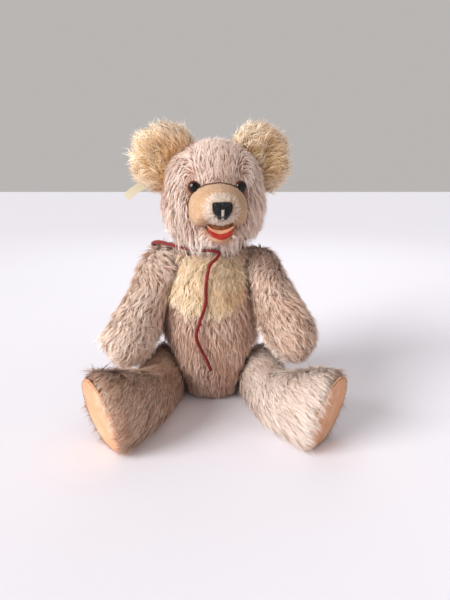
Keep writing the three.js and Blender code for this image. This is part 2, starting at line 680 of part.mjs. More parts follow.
// Legs, lying on the floor in the frame of the torso, for the left side
function legPieces(splay) {
  const heading = (angle) => point(Math.sin(angle), -Math.cos(angle), 0);
  const hip = hipFrame.position.clone().add(point(0.46 * LEG_THICKNESS, 0, -LEG_SINK));
  const onWay = (share, turn, rise) => hip.clone()
    .addScaledVector(heading(turn * splay), share * LEG_LENGTH)
    .setZ(rise);
  const sole = onWay(1, 1, FOOT_RISE);
  const soleOut = heading(SOLE_TURN).multiplyScalar(Math.cos(SOLE_TILT)).addScaledVector(UP, -Math.sin(SOLE_TILT));
  const toeOut = heading(SOLE_TURN + Math.PI / 2);
  const rolled = (share) => UP.clone()
    .multiplyScalar(Math.cos(share * FOOT_ROLL))
    .addScaledVector(toeOut, Math.sin(share * FOOT_ROLL));
  const past = 0.07 * LEG_LENGTH;
  const legHalf = (width, height) => [width * LEG_THICKNESS * 0.5, height * LEG_HEIGHT * 0.5];
  const footHalf = (width, length) => [width * FOOT_WIDTH * 0.5, length * FOOT_LENGTH * 0.5];
  const form = new StuffedForm(
    [
      { at: hip.clone().addScaledVector(heading(0.3 * splay), -LEG_BACK), half: legHalf(0.84, 0.88), depth: UP },
      { at: hip, half: legHalf(1, 1), depth: UP },
      { at: onWay(0.42, 0.5, HIP_HEIGHT - 1.5 * LEG_SINK), half: legHalf(1, 0.86), depth: rolled(0.4) },
      { at: onWay(0.76, 0.78, 0.8 * FOOT_RISE), half: footHalf(1, 0.8), depth: rolled(0.85) },
      { at: sole, half: footHalf(1, 1), depth: rolled(1) },
      { at: sole.clone().addScaledVector(soleOut, past), half: footHalf(0.96, 0.98), depth: rolled(1) },
    ],
    LEG_BACK,
    0.6 * past,
    LIMB_FACETS,
  );
  const outward = RIGHT.clone().transformDirection(hipFrame.matrix);
  const trim = (body, inset) => {
    let cut = keep(body, outward, hipFrame.position.clone().addScaledVector(outward, GAP + inset));
    cut = keep(cut, UP, point(0, 0, inset));
    return keep(cut, soleOut.clone().negate(), sole.clone().addScaledVector(soleOut, -inset));
  };
  const space = placed(limbSpace(HIP_DISC_RADIUS), hipFrame);
  const bore = placed(pinBore(), hipFrame);
  const skin = trim(form.outer(), 0)
    .subtract(trim(form.inner(PELT), PELT))
    .subtract(space)
    .subtract(bore);
  const stuffing = trim(form.inner(PELT + GAP), PELT + GAP).subtract(space).subtract(bore);
  const pastSole = (distance) => sole.clone().addScaledVector(soleOut, GAP + distance);
  let pad = keep(form.surface(FELT / 2, LIMB_FACETS), soleOut, pastSole(0));
  pad = keep(pad, soleOut.clone().negate(), pastSole(FELT));
  pad = keep(pad, UP, point(0, 0, FELT / 2));
  return { skin, stuffing, pad };
}

// Cord: from a knot under the chin round the neck and over the right shoulder, then down the front
const CORD_ROUTE = [
  [13, -29, 154.5],
  [26, -19, 155],
  [31, 2, 155],
  [25, 24, 155],
  [5, 33, 155],
  [-17, 32.5, 154.5],
  [-38, 29.5, 154.5],
  [-53, 21.5, 154.5],
  [-60, 11, 156],
  [-57.5, 1, 159.5],
  [-50.5, -8.5, 161.5],
  [-41, -17, 160.5],
  [-29, -25, 158.5],
  [-13, -32, 157],
  [1, -36, 157],
  [9, -38.5, 155],
  [6, -41, 150],
  [0, -43.5, 143.5],
  [-3, -46.5, 127],
  [-4, -49, 108],
  [-9, -50, 92],
  [-13, -50.5, 78],
  [-10, -50, 66],
  [-4, -48.5, 53],
  [0.5, -46.5, 40],
].map(([x, y, z]) => point(x, y, z));
const CORD_STEPS = 52;
const CORD_SIDES = 8;

// Materials
const look = (color, roughness, metalness = 0) => new THREE.MeshStandardMaterial({ color, roughness, metalness });
const taupeMohair = look(0xb59c86, 0.95);
const limbMohair = look(0xb8a084, 0.95);
const goldMohair = look(0xd8ba86, 0.95);
const velour = look(0xd3ad78, 0.95);
const peachFelt = look(0xdfa878, 1);
const redFelt = look(0xb53a22, 1);
const blackFloss = look(0x17141a, 0.6);
const brownGlass = look(0x21100a, 0.08);
const whiteTape = look(0xe4dccb, 0.9);
const redCord = look(0x8a1c1e, 0.8);
const woodWool = look(0xcbb183, 1);
const hardboard = look(0x7a5a3c, 0.9);
const steel = look(0x9a9a98, 0.4, 1);

function piece(name, body, material) {
  const mesh = new THREE.Mesh(body.isBufferGeometry ? body : geometryOf(body), material);
  mesh.name = name;
  return mesh;
}

function groupAt(frame, meshes) {
  const group = new THREE.Group();
  group.position.copy(frame.position);
  group.quaternion.copy(frame.quaternion);
  group.add(...meshes);
  return group;
}

// The hardware of one joint that stays with the torso
function bodyHardware(name, discRadius) {
  return [
    piece(`${name}_body_disc`, discOnBody(discRadius), hardboard),
    piece(`${name}_body_washer`, washerOnBody(), steel),
    piece(`${name}_cotter_pin`, cotterPin(), steel),
  ];
}

// The hardware of one joint that turns with the limb
function limbHardware(name, discRadius) {
  return [
    piece(`${name}_limb_disc`, discOnLimb(discRadius), hardboard),
    piece(`${name}_limb_washer`, washerOnLimb(), steel),
  ];
}

const bear = new THREE.Group();

bear.add(
  piece("torso_skin", torsoSkin, taupeMohair),
  piece("chest_bib", chestBib, goldMohair),
  piece("torso_stuffing", torsoStuffing, woodWool),
  piece("neck_cord", tube(new THREE.CatmullRomCurve3(CORD_ROUTE), CORD_DIAMETER / 2, CORD_STEPS, CORD_SIDES), redCord),
  groupAt(neckFrame, bodyHardware("neck", NECK_DISC_RADIUS)),
);

const head = new THREE.Group();
head.position.copy(neckFrame.position);
head.rotation.z = HEAD_TURN;
head.add(
  piece("head_skin", headSkin, taupeMohair),
  piece("head_stuffing", headStuffing, woodWool),
  piece("muzzle", muzzleCover, velour),
  piece("chin", chinPad, velour),
  piece("mouth_lip", lipFelt, peachFelt),
  piece("mouth_tongue", tongueFelt, redFelt),
  piece("nose_stitching", nose, blackFloss),
  piece("ear_tag", earTag(), whiteTape),
);
for (const [name, side] of [["left", 1], ["right", -1]]) {
  head.add(piece(`eye_${name}`, eyeBall(side, 0), brownGlass));
  head.add(piece(`ear_${name}`, ear(side), goldMohair));
}
const headHardware = new THREE.Group();
headHardware.rotation.y = -Math.PI / 2;
headHardware.add(...limbHardware("neck", NECK_DISC_RADIUS));
head.add(headHardware);
bear.add(head);

const sides = [
  { name: "left", scale: 1, swing: LEFT_ARM_SWING, splay: LEFT_LEG_SPLAY },
  { name: "right", scale: -1, swing: RIGHT_ARM_SWING, splay: RIGHT_LEG_SPLAY },
];
for (const { name, scale, swing, splay } of sides) {
  const half = new THREE.Group();
  half.scale.x = scale;

  const shoulder = groupAt(shoulderFrame, bodyHardware(`shoulder_${name}`, SHOULDER_DISC_RADIUS));
  const armGroup = new THREE.Group();
  armGroup.rotation.x = -swing;
  armGroup.add(
    piece(`arm_${name}_skin`, armSkin, limbMohair),
    piece(`arm_${name}_stuffing`, armStuffing, woodWool),
    piece(`paw_pad_${name}`, pawPad, peachFelt),
    ...limbHardware(`shoulder_${name}`, SHOULDER_DISC_RADIUS),
  );
  shoulder.add(armGroup);

  const leg = legPieces(splay);
  half.add(
    shoulder,
    groupAt(hipFrame, bodyHardware(`hip_${name}`, HIP_DISC_RADIUS)),
    groupAt(hipFrame, limbHardware(`hip_${name}`, HIP_DISC_RADIUS)),
    piece(`leg_${name}_skin`, leg.skin, limbMohair),
    piece(`leg_${name}_stuffing`, leg.stuffing, woodWool),
    piece(`foot_pad_${name}`, leg.pad, peachFelt),
  );
  bear.add(half);
}

export default bear;
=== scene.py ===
# %% [markdown]
# # A threadbare mohair bear
# This notebook dresses a CAD model of a jointed bear. The CAD gives every solid its place, and this script
# adds what a solid cannot show: pile, felt, thread, glass and a twisted cord. All sizes are in metres.

import json
import math
import random

import bmesh
import bpy
import numpy as np
from mathutils import Matrix, Vector, geometry, noise
from mathutils.bvhtree import BVHTree

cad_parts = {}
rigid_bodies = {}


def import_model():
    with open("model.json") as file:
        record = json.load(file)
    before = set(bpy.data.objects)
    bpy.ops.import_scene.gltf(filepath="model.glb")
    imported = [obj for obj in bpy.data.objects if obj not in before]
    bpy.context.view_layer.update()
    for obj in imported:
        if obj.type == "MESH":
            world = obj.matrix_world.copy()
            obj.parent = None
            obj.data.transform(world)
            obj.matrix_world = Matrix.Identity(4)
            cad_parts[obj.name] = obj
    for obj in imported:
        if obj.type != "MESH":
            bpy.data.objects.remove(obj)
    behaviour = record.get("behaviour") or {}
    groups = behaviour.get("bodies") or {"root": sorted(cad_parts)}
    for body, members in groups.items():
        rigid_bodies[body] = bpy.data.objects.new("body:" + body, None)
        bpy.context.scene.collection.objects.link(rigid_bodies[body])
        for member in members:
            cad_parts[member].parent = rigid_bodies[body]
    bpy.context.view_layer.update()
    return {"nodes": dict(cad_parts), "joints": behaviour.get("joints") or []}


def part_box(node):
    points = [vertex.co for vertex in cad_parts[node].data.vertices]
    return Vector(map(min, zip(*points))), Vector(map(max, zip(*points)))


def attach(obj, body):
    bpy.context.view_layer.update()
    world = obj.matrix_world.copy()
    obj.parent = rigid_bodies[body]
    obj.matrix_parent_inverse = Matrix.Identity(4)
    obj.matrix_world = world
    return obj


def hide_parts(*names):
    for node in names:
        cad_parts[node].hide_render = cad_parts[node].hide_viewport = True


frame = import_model()
scene = bpy.context.scene
MM = 0.001
FLOOR_CLEARANCE = 0.4 * MM

# %% [markdown]
# ## Camera
# A photograph fixes where the eye stood. The camera here stands a little above the bear's head, close by,
# and looks down at it, with a lens that is wider than a portrait lens.

# %% The camera
camera_data = bpy.data.cameras.new("camera")
camera_data.lens = 28.08
camera_data.sensor_width = 36
camera = bpy.data.objects.new("camera", camera_data)
camera.location = (0.0145, -0.473, 0.226)
camera.rotation_euler = (math.radians(75), 0, 0)
scene.collection.objects.link(camera)
scene.camera = camera
print("camera at", tuple(camera.location))

# %% [markdown]
# ## Helpers for node trees
# Shaders and Geometry Nodes are both trees of nodes. Writing `put(tree, kind, {...})` for every node keeps
# a tree readable: the dictionary says what goes into each input, a plain value or another node's output.

# %% Node helpers
def put(tree, kind, inputs=None, **settings):
    """Adds a node, with its settings, and fills its inputs by name or number."""
    node = tree.nodes.new(kind)
    for name, value in settings.items():
        setattr(node, name, value)
    for key, value in (inputs or {}).items():
        if isinstance(value, bpy.types.NodeSocket):
            tree.links.new(value, node.inputs[key])
        else:
            node.inputs[key].default_value = value
    return node


def maths(tree, operation, *values):
    node = put(tree, "ShaderNodeMath", dict(enumerate(values)), operation=operation)
    return node.outputs[0]


def vectors(tree, operation, *values):
    node = put(tree, "ShaderNodeVectorMath", dict(enumerate(values)), operation=operation)
    return node.outputs["Vector"]


def scaled(tree, vector, factor):
    node = put(tree, "ShaderNodeVectorMath", {"Vector": vector, "Scale": factor}, operation="SCALE")
    return node.outputs["Vector"]


def ramp(tree, value, low, high, to_low=0.0, to_high=1.0):
    """A smooth step of value from low to high."""
    inputs = {"Value": value, "From Min": low, "From Max": high, "To Min": to_low, "To Max": to_high}
    return put(tree, "ShaderNodeMapRange", inputs, interpolation_type="SMOOTHSTEP").outputs["Result"]


def blended(tree, factor, first, second, mode="MIX"):
    """Two colours mixed by a factor."""
    node = put(tree, "ShaderNodeMix", {0: factor, 6: first, 7: second}, data_type="RGBA", blend_type=mode)
    return node.outputs[2]


def shade(code, alpha=1.0):
    """A colour written as six hexadecimal digits, as linear light."""
    parts = [int(code[i:i + 2], 16) / 255 for i in (0, 2, 4)]
    return (*[p / 12.92 if p <= 0.04045 else ((p + 0.055) / 1.055) ** 2.4 for p in parts], alpha)


def geometry_tree(name, inputs):
    """An empty Geometry Nodes tree with named inputs, and its input and output nodes."""
    tree = bpy.data.node_groups.new(name, "GeometryNodeTree")
    tree.interface.new_socket("Geometry", in_out="INPUT", socket_type="NodeSocketGeometry")
    for label, kind in inputs:
        tree.interface.new_socket(label, in_out="INPUT", socket_type=kind)
    tree.interface.new_socket("Geometry", in_out="OUTPUT", socket_type="NodeSocketGeometry")
    return tree, tree.nodes.new("NodeGroupInput").outputs, tree.nodes.new("NodeGroupOutput")


def new_object(name, data):
    piece = bpy.data.objects.new(name, data)
    scene.collection.objects.link(piece)
    return piece


def grown(name, data, tree, values):
    """The plain mesh that a Geometry Nodes tree makes from data, as an object."""
    source = new_object(name + "_source", data)
    modifier = source.modifiers.new("tree", "NODES")
    modifier.node_group = tree
    for socket in tree.interface.items_tree:
        if socket.in_out == "INPUT" and socket.name in values:
            modifier[socket.identifier] = values[socket.name]
    depsgraph = bpy.context.evaluated_depsgraph_get()
    mesh = bpy.data.meshes.new_from_object(source.evaluated_get(depsgraph))
    bpy.data.objects.remove(source)
    mesh.name = name
    return new_object(name, mesh)


def triangles(mesh):
    return sum(len(face.vertices) - 2 for face in mesh.polygons)


# %% [markdown]
# ## Material helpers
# Each finish is a Principled shader with colour, roughness and bump from nodes. What several finishes share,
# such as the grain of worn fibres, is a node group that is built once.

# %% A material and its shader
def finish(name, roughness=0.9, **sockets):
    """A new material: its tree and its Principled shader, with plain values set on the shader."""
    material = bpy.data.materials.new(name)
    material.use_nodes = True
    tree = material.node_tree
    shader = tree.nodes["Principled BSDF"]
    shader.inputs["Roughness"].default_value = roughness
    for label, value in sockets.items():
        shader.inputs[label.replace("_", " ")].default_value = value
    return material, tree, shader


def shader_group(name, inputs, outputs):
    group = bpy.data.node_groups.new(name, "ShaderNodeTree")
    for label, kind, default in inputs:
        socket = group.interface.new_socket(label, in_out="INPUT", socket_type=kind)
        socket.default_value = default
    for label, kind in outputs:
        group.interface.new_socket(label, in_out="OUTPUT", socket_type=kind)
    return group, group.nodes.new("NodeGroupInput").outputs, group.nodes.new("NodeGroupOutput")


def use_group(tree, group, values):
    return put(tree, "ShaderNodeGroup", values, node_tree=group).outputs


def place(tree):
    return put(tree, "ShaderNodeTexCoord").outputs["Object"]


def grain(tree, scale, detail=3.0, position=None):
    inputs = {"Vector": position or place(tree), "Scale": scale, "Detail": detail}
    return put(tree, "ShaderNodeTexNoise", inputs).outputs["Fac"]


def bump(tree, shader, height, strength, distance):
    node = put(tree, "ShaderNodeBump", {"Height": height, "Strength": strength, "Distance": distance})
    tree.links.new(node.outputs["Normal"], shader.inputs["Normal"])


# %% [markdown]
# ## Two shared effects
# *Pile colour* paints a strand from its root to its tip and lets strands and patches differ, as in faded
# mohair; the dark, warm roots are partly painted shade deep in the coat, and the pale tips partly painted
# highlight. *Felted fibre* is the mottled fuzz of felt and worn cloth.

# %% The pile colour group
COLOUR = "NodeSocketColor"
VALUE = "NodeSocketFloat"
WHITE = (1, 1, 1, 1)

pile_colour, given, result = shader_group(
    "Pile colour",
    [("Root", COLOUR, WHITE), ("Body", COLOUR, WHITE), ("Tip", COLOUR, WHITE), ("Stain", COLOUR, WHITE),
     ("Stain Amount", VALUE, 0.3), ("Stain Scale", VALUE, 30.0)],
    [("Color", COLOUR)],
)
along = put(pile_colour, "ShaderNodeAttribute", attribute_name="along").outputs["Fac"]
tone = put(pile_colour, "ShaderNodeAttribute", attribute_name="tone").outputs["Fac"]
strand = put(pile_colour, "ShaderNodeAttribute", attribute_name="strand").outputs["Fac"]
# Dark roots are partly painted shade of the deep coat, and the pale tips of some strands partly painted highlight.
lower = blended(pile_colour, ramp(pile_colour, along, 0.0, 0.5), given["Root"], given["Body"])
pale_tips_and_highlight = maths(pile_colour, "MULTIPLY", ramp(pile_colour, along, 0.45, 1.0), ramp(pile_colour, strand, 0.1, 0.8))
upper = blended(pile_colour, pale_tips_and_highlight, lower, given["Tip"])
patch = grain(pile_colour, given["Stain Scale"], 2.0)
stain = maths(pile_colour, "MULTIPLY", ramp(pile_colour, patch, 0.42, 0.7), given["Stain Amount"])
stained = blended(pile_colour, stain, upper, given["Stain"], "MULTIPLY")
light = maths(pile_colour, "ADD", maths(pile_colour, "MULTIPLY", tone, 0.1), 0.75)
light = maths(pile_colour, "ADD", light, maths(pile_colour, "MULTIPLY", strand, 0.38))
varied = put(pile_colour, "ShaderNodeHueSaturation", {"Color": stained, "Value": light}).outputs["Color"]
pile_colour.links.new(varied, result.inputs["Color"])
print("group", pile_colour.name)

# %% The felted fibre group
felted, given, result = shader_group(
    "Felted fibre",
    [("Color", COLOUR, WHITE), ("Worn", COLOUR, WHITE), ("Fibre Scale", VALUE, 900.0), ("Patch Scale", VALUE, 60.0)],
    [("Color", COLOUR), ("Height", VALUE)],
)
fuzz = grain(felted, given["Fibre Scale"], 4.0)
patch = ramp(felted, grain(felted, given["Patch Scale"], 4.0), 0.4, 0.72)
mottled = blended(felted, patch, given["Color"], given["Worn"])
flecked = blended(felted, ramp(felted, fuzz, 0.35, 0.7, 0.0, 0.45), mottled, (0.5, 0.45, 0.4, 1), "OVERLAY")
felted.links.new(flecked, result.inputs["Color"])
felted.links.new(fuzz, result.inputs["Height"])
print("group", felted.name)


# %% Finishes for pile, backing and felt
def pile_finish(name, root, body, tip, stain, amount=0.35, scale=30.0):
    material, tree, shader = finish(name, 0.62, Specular_IOR_Level=0.3, Sheen_Weight=0.25, Sheen_Roughness=0.5)
    values = {"Root": shade(root), "Body": shade(body), "Tip": shade(tip), "Stain": shade(stain),
              "Stain Amount": amount, "Stain Scale": scale}
    tree.links.new(use_group(tree, pile_colour, values)["Color"], shader.inputs["Base Color"])
    return material


def felt_finish(name, colour, worn, fibre=900.0, patch=60.0, depth=0.4 * MM):
    material, tree, shader = finish(name, 0.95, Sheen_Weight=0.2, Sheen_Roughness=0.6, Specular_IOR_Level=0.15)
    values = {"Color": shade(colour), "Worn": shade(worn), "Fibre Scale": fibre, "Patch Scale": patch}
    fibres = use_group(tree, felted, values)
    tree.links.new(fibres["Color"], shader.inputs["Base Color"])
    bump(tree, shader, fibres["Height"], 0.5, depth)
    return material


# Each root colour is darker and warmer than its body, partly as painted warm shade deep in the coat; each pale tip is
# partly painted highlight.
head_pile = pile_finish("head mohair", "8e6450", "f0d6c6", "fffaf4", "e8cab8", 0.25)
taupe_pile = pile_finish("taupe mohair", "643c2e", "d8b29c", "fcece0", "dcae98")
# Both arms have the same beige mohair in two copies: the right arm's, on the side the key lamp lights, has a lighter
# body as painted light, and the left arm's a darker body as painted shade.
arm_right_lit_pile = pile_finish("beige mohair", "6c4432", "f2d8c4", "fff9f2", "e6c4b0")
arm_left_shaded_pile = pile_finish("beige, painted shade", "603c2c", "e0c0aa", "fff2e8", "deb8a2")
leg_right_pile = pile_finish("brown mohair", "44281a", "cea68a", "fcecdc", "c89c80")
leg_left_pile = pile_finish("pale mohair", "664636", "dec8b8", "fcf4ee", "e2c8b6")
gold_pile = pile_finish("gold mohair", "9c6c3c", "f4d8b0", "fff8ea", "f0c89a")
ear_gold_and_shade_pile = pile_finish("golden mohair and painted shade", "8a5a2e", "e8c08c", "fcecd0", "e4b684")
cream_pile = pile_finish("cream mohair", "ac8054", "fae4c6", "fffaf2", "f0d2ac")
muzzle_nap = pile_finish("clipped nap", "a88260", "c8a482", "dec4a6", "d4ac88", 0.35, 60.0)
cheek_fluff = pile_finish("cheek fluff", "b8907a", "f2dcce", "fffaf6", "f0d8ca", 0.2)
white_fuzz = pile_finish("worn fuzz", "dcc0a8", "f6e8dc", "fffcf8", "f4e0d0", 0.2)
nose_white = pile_finish("worn nap", "d4b498", "f0e0d2", "fffaf5", "f0dccc", 0.3, 60.0)
head_backing = felt_finish("head backing", "8e6854", "a27e6a", 700.0)
taupe_backing = felt_finish("taupe backing", "8e6a58", "a28070", 700.0)
pale_backing = felt_finish("pale backing", "a88c78", "bca08a", 700.0)
brown_backing = felt_finish("brown backing", "704e3a", "86624a", 700.0)
gold_backing = felt_finish("gold backing", "c09458", "d4ac70", 700.0)
velour = felt_finish("velour", "ba9472", "ccac8a", 1400.0, 80.0)
peach_felt = felt_finish("peach felt", "d0966e", "daa884")
lip_felt = felt_finish("lip felt", "c88862", "d49c78")
chin_velour = felt_finish("chin velour", "bc8464", "cc9c7c", 1200.0)
red_felt = felt_finish("red felt", "a01c10", "b02c18")
# The palate felt is darker than the lip felt as painted shade inside the open mouth.
palate_felt = felt_finish("palate felt, painted shade", "8e4a28", "b87444", 500.0, 400.0)
print(len(bpy.data.materials), "materials")

# %% [markdown]
# ## The cord
# A thin red cord goes once round the neck, over one shoulder and down the front. A cord has a fixed length and
# lies on what is under it, so its route is given point by point, and is the same as in the CAD. The
# twist of its plies is a lobed outline that turns as it is swept along the route.

# %% The route of the cord
CORD_DIAMETER = 3.2 * MM
CORD_TWIST = 11 * MM
CORD_ROUTE = [
    (13, -29, 154.5), (26, -19, 155), (31, 2, 155), (25, 24, 155), (5, 33, 155), (-17, 32.5, 154.5),
    (-38, 29.5, 154.5), (-53, 21.5, 154.5), (-60, 11, 156), (-57.5, 1, 159.5), (-50.5, -8.5, 161.5),
    (-41, -17, 160.5), (-29, -25, 158.5), (-13, -32, 157), (1, -36, 157), (9, -38.5, 155), (6, -41, 150),
    (0, -43.5, 143.5), (-3, -46.5, 127), (-4, -49, 108), (-9, -50, 92), (-13, -50.5, 78), (-10, -50, 66),
    (-4, -48.5, 53), (0.5, -46.5, 40),
]
cord_points = [Vector(p) * MM for p in CORD_ROUTE]


def smooth_route(points, steps):
    """Points along a smooth curve through the given ones."""
    route = []
    last = len(points) - 1
    for i in range(last):
        before, here, there, after = points[max(i - 1, 0)], points[i], points[i + 1], points[min(i + 2, last)]
        first = here + (there - before) / 6
        second = there - (after - here) / 6
        route.extend(geometry.interpolate_bezier(here, first, second, there, steps + 1)[:-1])
    return route + [points[-1]]


def line_curve(name, lines, closed=False):
    """A curve data block with one straight-pieced spline for each list of points."""
    curve = bpy.data.curves.new(name, "CURVE")
    curve.dimensions = "3D"
    for points in lines:
        spline = curve.splines.new("POLY")
        spline.points.add(len(points) - 1)
        spline.points.foreach_set("co", [c for p in points for c in (*p, 1)])
        spline.use_cyclic_u = closed
    return curve


cord_line = smooth_route(cord_points, 8)
cord_length = sum((b - a).length for a, b in zip(cord_line, cord_line[1:]))
print("cord length", round(cord_length, 4))

# %% The tree that sweeps a twisted cord
cord_tree, given, result = geometry_tree(
    "Twisted cord",
    [("Radius", "NodeSocketFloat"), ("Twist", "NodeSocketFloat"), ("Material", "NodeSocketMaterial")],
)
length = put(cord_tree, "GeometryNodeSplineParameter").outputs["Length"]
turn = maths(cord_tree, "MULTIPLY", maths(cord_tree, "DIVIDE", length, given["Twist"]), 2 * math.pi)
tilted = put(cord_tree, "GeometryNodeSetCurveTilt", {"Curve": given["Geometry"], "Tilt": turn}).outputs["Curve"]
circle = put(cord_tree, "GeometryNodeCurvePrimitiveCircle", {"Resolution": 18, "Radius": 1.0}).outputs["Curve"]
share = put(cord_tree, "GeometryNodeSplineParameter").outputs["Factor"]
lobe = maths(cord_tree, "ABSOLUTE", maths(cord_tree, "SINE", maths(cord_tree, "MULTIPLY", share, 3 * math.pi)))
lobe = maths(cord_tree, "ADD", maths(cord_tree, "MULTIPLY", lobe, 0.26), 0.74)
lobed = scaled(cord_tree, put(cord_tree, "GeometryNodeInputPosition").outputs[0], lobe)
profile = put(cord_tree, "GeometryNodeSetPosition", {"Geometry": circle, "Position": lobed}).outputs[0]
inputs = {"Curve": tilted, "Profile Curve": profile, "Scale": given["Radius"], "Fill Caps": True}
swept = put(cord_tree, "GeometryNodeCurveToMesh", inputs).outputs["Mesh"]
inputs = {"Geometry": swept, "Material": given["Material"]}
cord_tree.links.new(put(cord_tree, "GeometryNodeSetMaterial", inputs).outputs[0], result.inputs[0])

# %% The cord itself
LOBE_MEAN = 0.85
cord_red = felt_finish("red cord", "701410", "862420", 1500.0, 120.0, 0.2 * MM)
values = {"Radius": CORD_DIAMETER / 2 / LOBE_MEAN, "Twist": CORD_TWIST, "Material": cord_red}
cord = grown("neck_cord_twist", line_curve("cord line", [cord_line]), cord_tree, values)
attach(cord, "torso")
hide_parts("neck_cord")
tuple(cord_line[0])
print("cord", triangles(cord.data), "triangles")

# %% [markdown]
# ## Stuffed forms
# A stuffed limb is cloth drawn tight over packed wood wool, so its form is smooth and full. The CAD gives it
# in flat facets, as a hollow cover with stuffing inside. A voxel remesh of the cover and what fills it gives
# one closed skin of even small faces, and a few rounds of smoothing take the facets out.

# %% A smooth closed skin over CAD nodes
def islands(mesh):
    """Lists of vertices that hang together."""
    left = set(mesh.verts)
    while left:
        queue = [left.pop()]
        found = []
        while queue:
            vertex = queue.pop()
            found.append(vertex)
            for edge in vertex.link_edges:
                other = edge.other_vert(vertex)
                if other in left:
                    left.remove(other)
                    queue.append(other)
        yield found


def stuffed_form(nodes, voxel, rounds, inset):
    """The outer skin of some CAD nodes together, smoothed, and set in a little to leave room for pile."""
    joined = bmesh.new()
    for node in nodes:
        joined.from_mesh(frame["nodes"][node].data)
    bmesh.ops.remove_doubles(joined, verts=joined.verts, dist=1e-6)
    mesh = bpy.data.meshes.new("joined")
    joined.to_mesh(mesh)
    source = new_object("joined", mesh)
    remesh = source.modifiers.new("remesh", "REMESH")
    remesh.mode = "VOXEL"
    remesh.voxel_size = voxel
    evaluated = source.evaluated_get(bpy.context.evaluated_depsgraph_get())
    joined.clear()
    joined.from_mesh(evaluated.to_mesh())
    bpy.data.objects.remove(source)
    parts = sorted(islands(joined), key=len)
    bmesh.ops.delete(joined, geom=[v for part in parts[:-1] for v in part], context="VERTS")
    for _ in range(rounds):
        bmesh.ops.smooth_vert(joined, verts=joined.verts, factor=0.5, use_axis_x=True, use_axis_y=True, use_axis_z=True)
    joined.normal_update()
    for vertex in joined.verts:
        vertex.co -= inset * vertex.normal
        vertex.co.z = max(vertex.co.z, FLOOR_CLEARANCE)
    for face in joined.faces:
        face.smooth = True
    skin = bpy.data.meshes.new("skin")
    joined.to_mesh(skin)
    joined.free()
    return skin


def skin_piece(name, mesh, body, nodes, slot, material):
    """A stuffed piece on its body, in place of its CAD nodes."""
    piece = new_object(name, mesh)
    mesh.materials.clear()
    mesh.materials.append(material)
    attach(piece, body)
    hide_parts(*nodes)
    return piece


SKIN_VOXEL = 3 * MM
PILE_ROOM = -0.5 * MM
HARDWARE = ("body_disc", "body_washer")
torso_fill = [f"{joint}_{part}" for joint in ("neck", "shoulder_left", "shoulder_right", "hip_left", "hip_right")
              for part in HARDWARE]
torso_skin = stuffed_form(["torso_skin", "chest_bib", "torso_stuffing", *torso_fill], SKIN_VOXEL, 8, PILE_ROOM)
head_fill = ["neck_limb_disc", "neck_limb_washer"]
head_skin = stuffed_form(["head_skin", "head_stuffing", *head_fill], SKIN_VOXEL, 6, PILE_ROOM)
limb_skins = {}
for side in ("left", "right"):
    for limb, joint in (("arm", "shoulder"), ("leg", "hip")):
        nodes = [f"{limb}_{side}_skin", f"{limb}_{side}_stuffing", f"{joint}_{side}_limb_disc"]
        limb_skins[limb, side] = stuffed_form(nodes, SKIN_VOXEL, 8, PILE_ROOM)
ear_skins = {side: stuffed_form([f"ear_{side}"], 2 * MM, 6, PILE_ROOM) for side in ("left", "right")}
print("torso", len(torso_skin.vertices), "head", len(head_skin.vertices), "leg", len(limb_skins["leg", "left"].vertices))

# %% The skins on their bodies
torso_pelt = skin_piece("torso_pelt", torso_skin, "torso", ["torso_skin", "chest_bib"], "mohair_taupe", taupe_backing)
head_pelt = skin_piece("head_pelt", head_skin, "head", ["head_skin"], "mohair_taupe", head_backing)
limb_backings = {("leg", "left"): pale_backing, ("leg", "right"): brown_backing}
for (limb, side), skin in limb_skins.items():
    body = f"{limb}_{side}"
    backing = limb_backings.get((limb, side), taupe_backing)
    skin_piece(f"{body}_pelt", skin, body, [f"{body}_skin"], "mohair_beige", backing)
for side, skin in ear_skins.items():
    skin_piece(f"ear_{side}_pelt", skin, "head", [f"ear_{side}"], "mohair_gold", gold_backing)

# %% [markdown]
# ## Locks of mohair
# Mohair stands in locks: a few strands that start apart and lie together at their tips. A lock is modelled
# once, lying along X on a skin whose outside is Z, with flat strands that end in a point, and a few
# different ones are strewn over each skin. Hair curves would be finer, but only a mesh can leave Blender.

# %% A lock and a set of locks
LOCK_LENGTH = 12 * MM


def add_strand(mesh, layers, draw, kind):
    """One flat strand with a pointed end."""
    length = LOCK_LENGTH * draw.uniform(0.7, 1.12)
    angle, reach = draw.uniform(0, 2 * math.pi), kind["spread"] * math.sqrt(draw.random())
    root = Vector((reach * math.cos(angle), reach * math.sin(angle), -0.6 * MM))
    lift, droop = draw.uniform(*kind["lift"]), draw.uniform(*kind["droop"])
    bend, roll = draw.uniform(-0.16, 0.16), draw.uniform(-0.7, 0.7)
    phase, wave = draw.uniform(0, 2 * math.pi), kind["wave"] * draw.uniform(0.5, 1.2)
    width = kind["width"] * draw.uniform(0.7, 1.25)
    number = draw.random()
    segments = kind["segments"]

    def middle(t):
        swing = wave * math.sin(phase + 2 * math.pi * kind["turns"] * t) * t
        x = root.x * (1 - 0.4 * t) + length * t
        y = root.y * (1 - 0.7 * t) + length * (bend * t * t + swing)
        z = root.z + length * (lift * t - droop * t * t + 0.6 * swing)
        return Vector((x, y, z))

    rows = []
    for i in range(segments):
        t = i / segments
        here = middle(t)
        ahead = (middle(t + 0.05) - here).normalized()
        flat = Matrix.Rotation(roll, 3, ahead) @ ahead.cross(Vector((0, 0, 1))).normalized()
        half = flat * (width / 2) * (1 - 0.35 * t)
        rows.append([mesh.verts.new(here + half), mesh.verts.new(here - half)])
        for vertex in rows[-1]:
            vertex[layers["along"]] = t
            vertex[layers["strand"]] = number
    tip = mesh.verts.new(middle(1))
    tip[layers["along"]] = 1
    tip[layers["strand"]] = number
    for low, high in zip(rows, rows[1:]):
        mesh.faces.new((low[0], high[0], high[1], low[1]))
    mesh.faces.new((rows[-1][0], tip, rows[-1][1]))


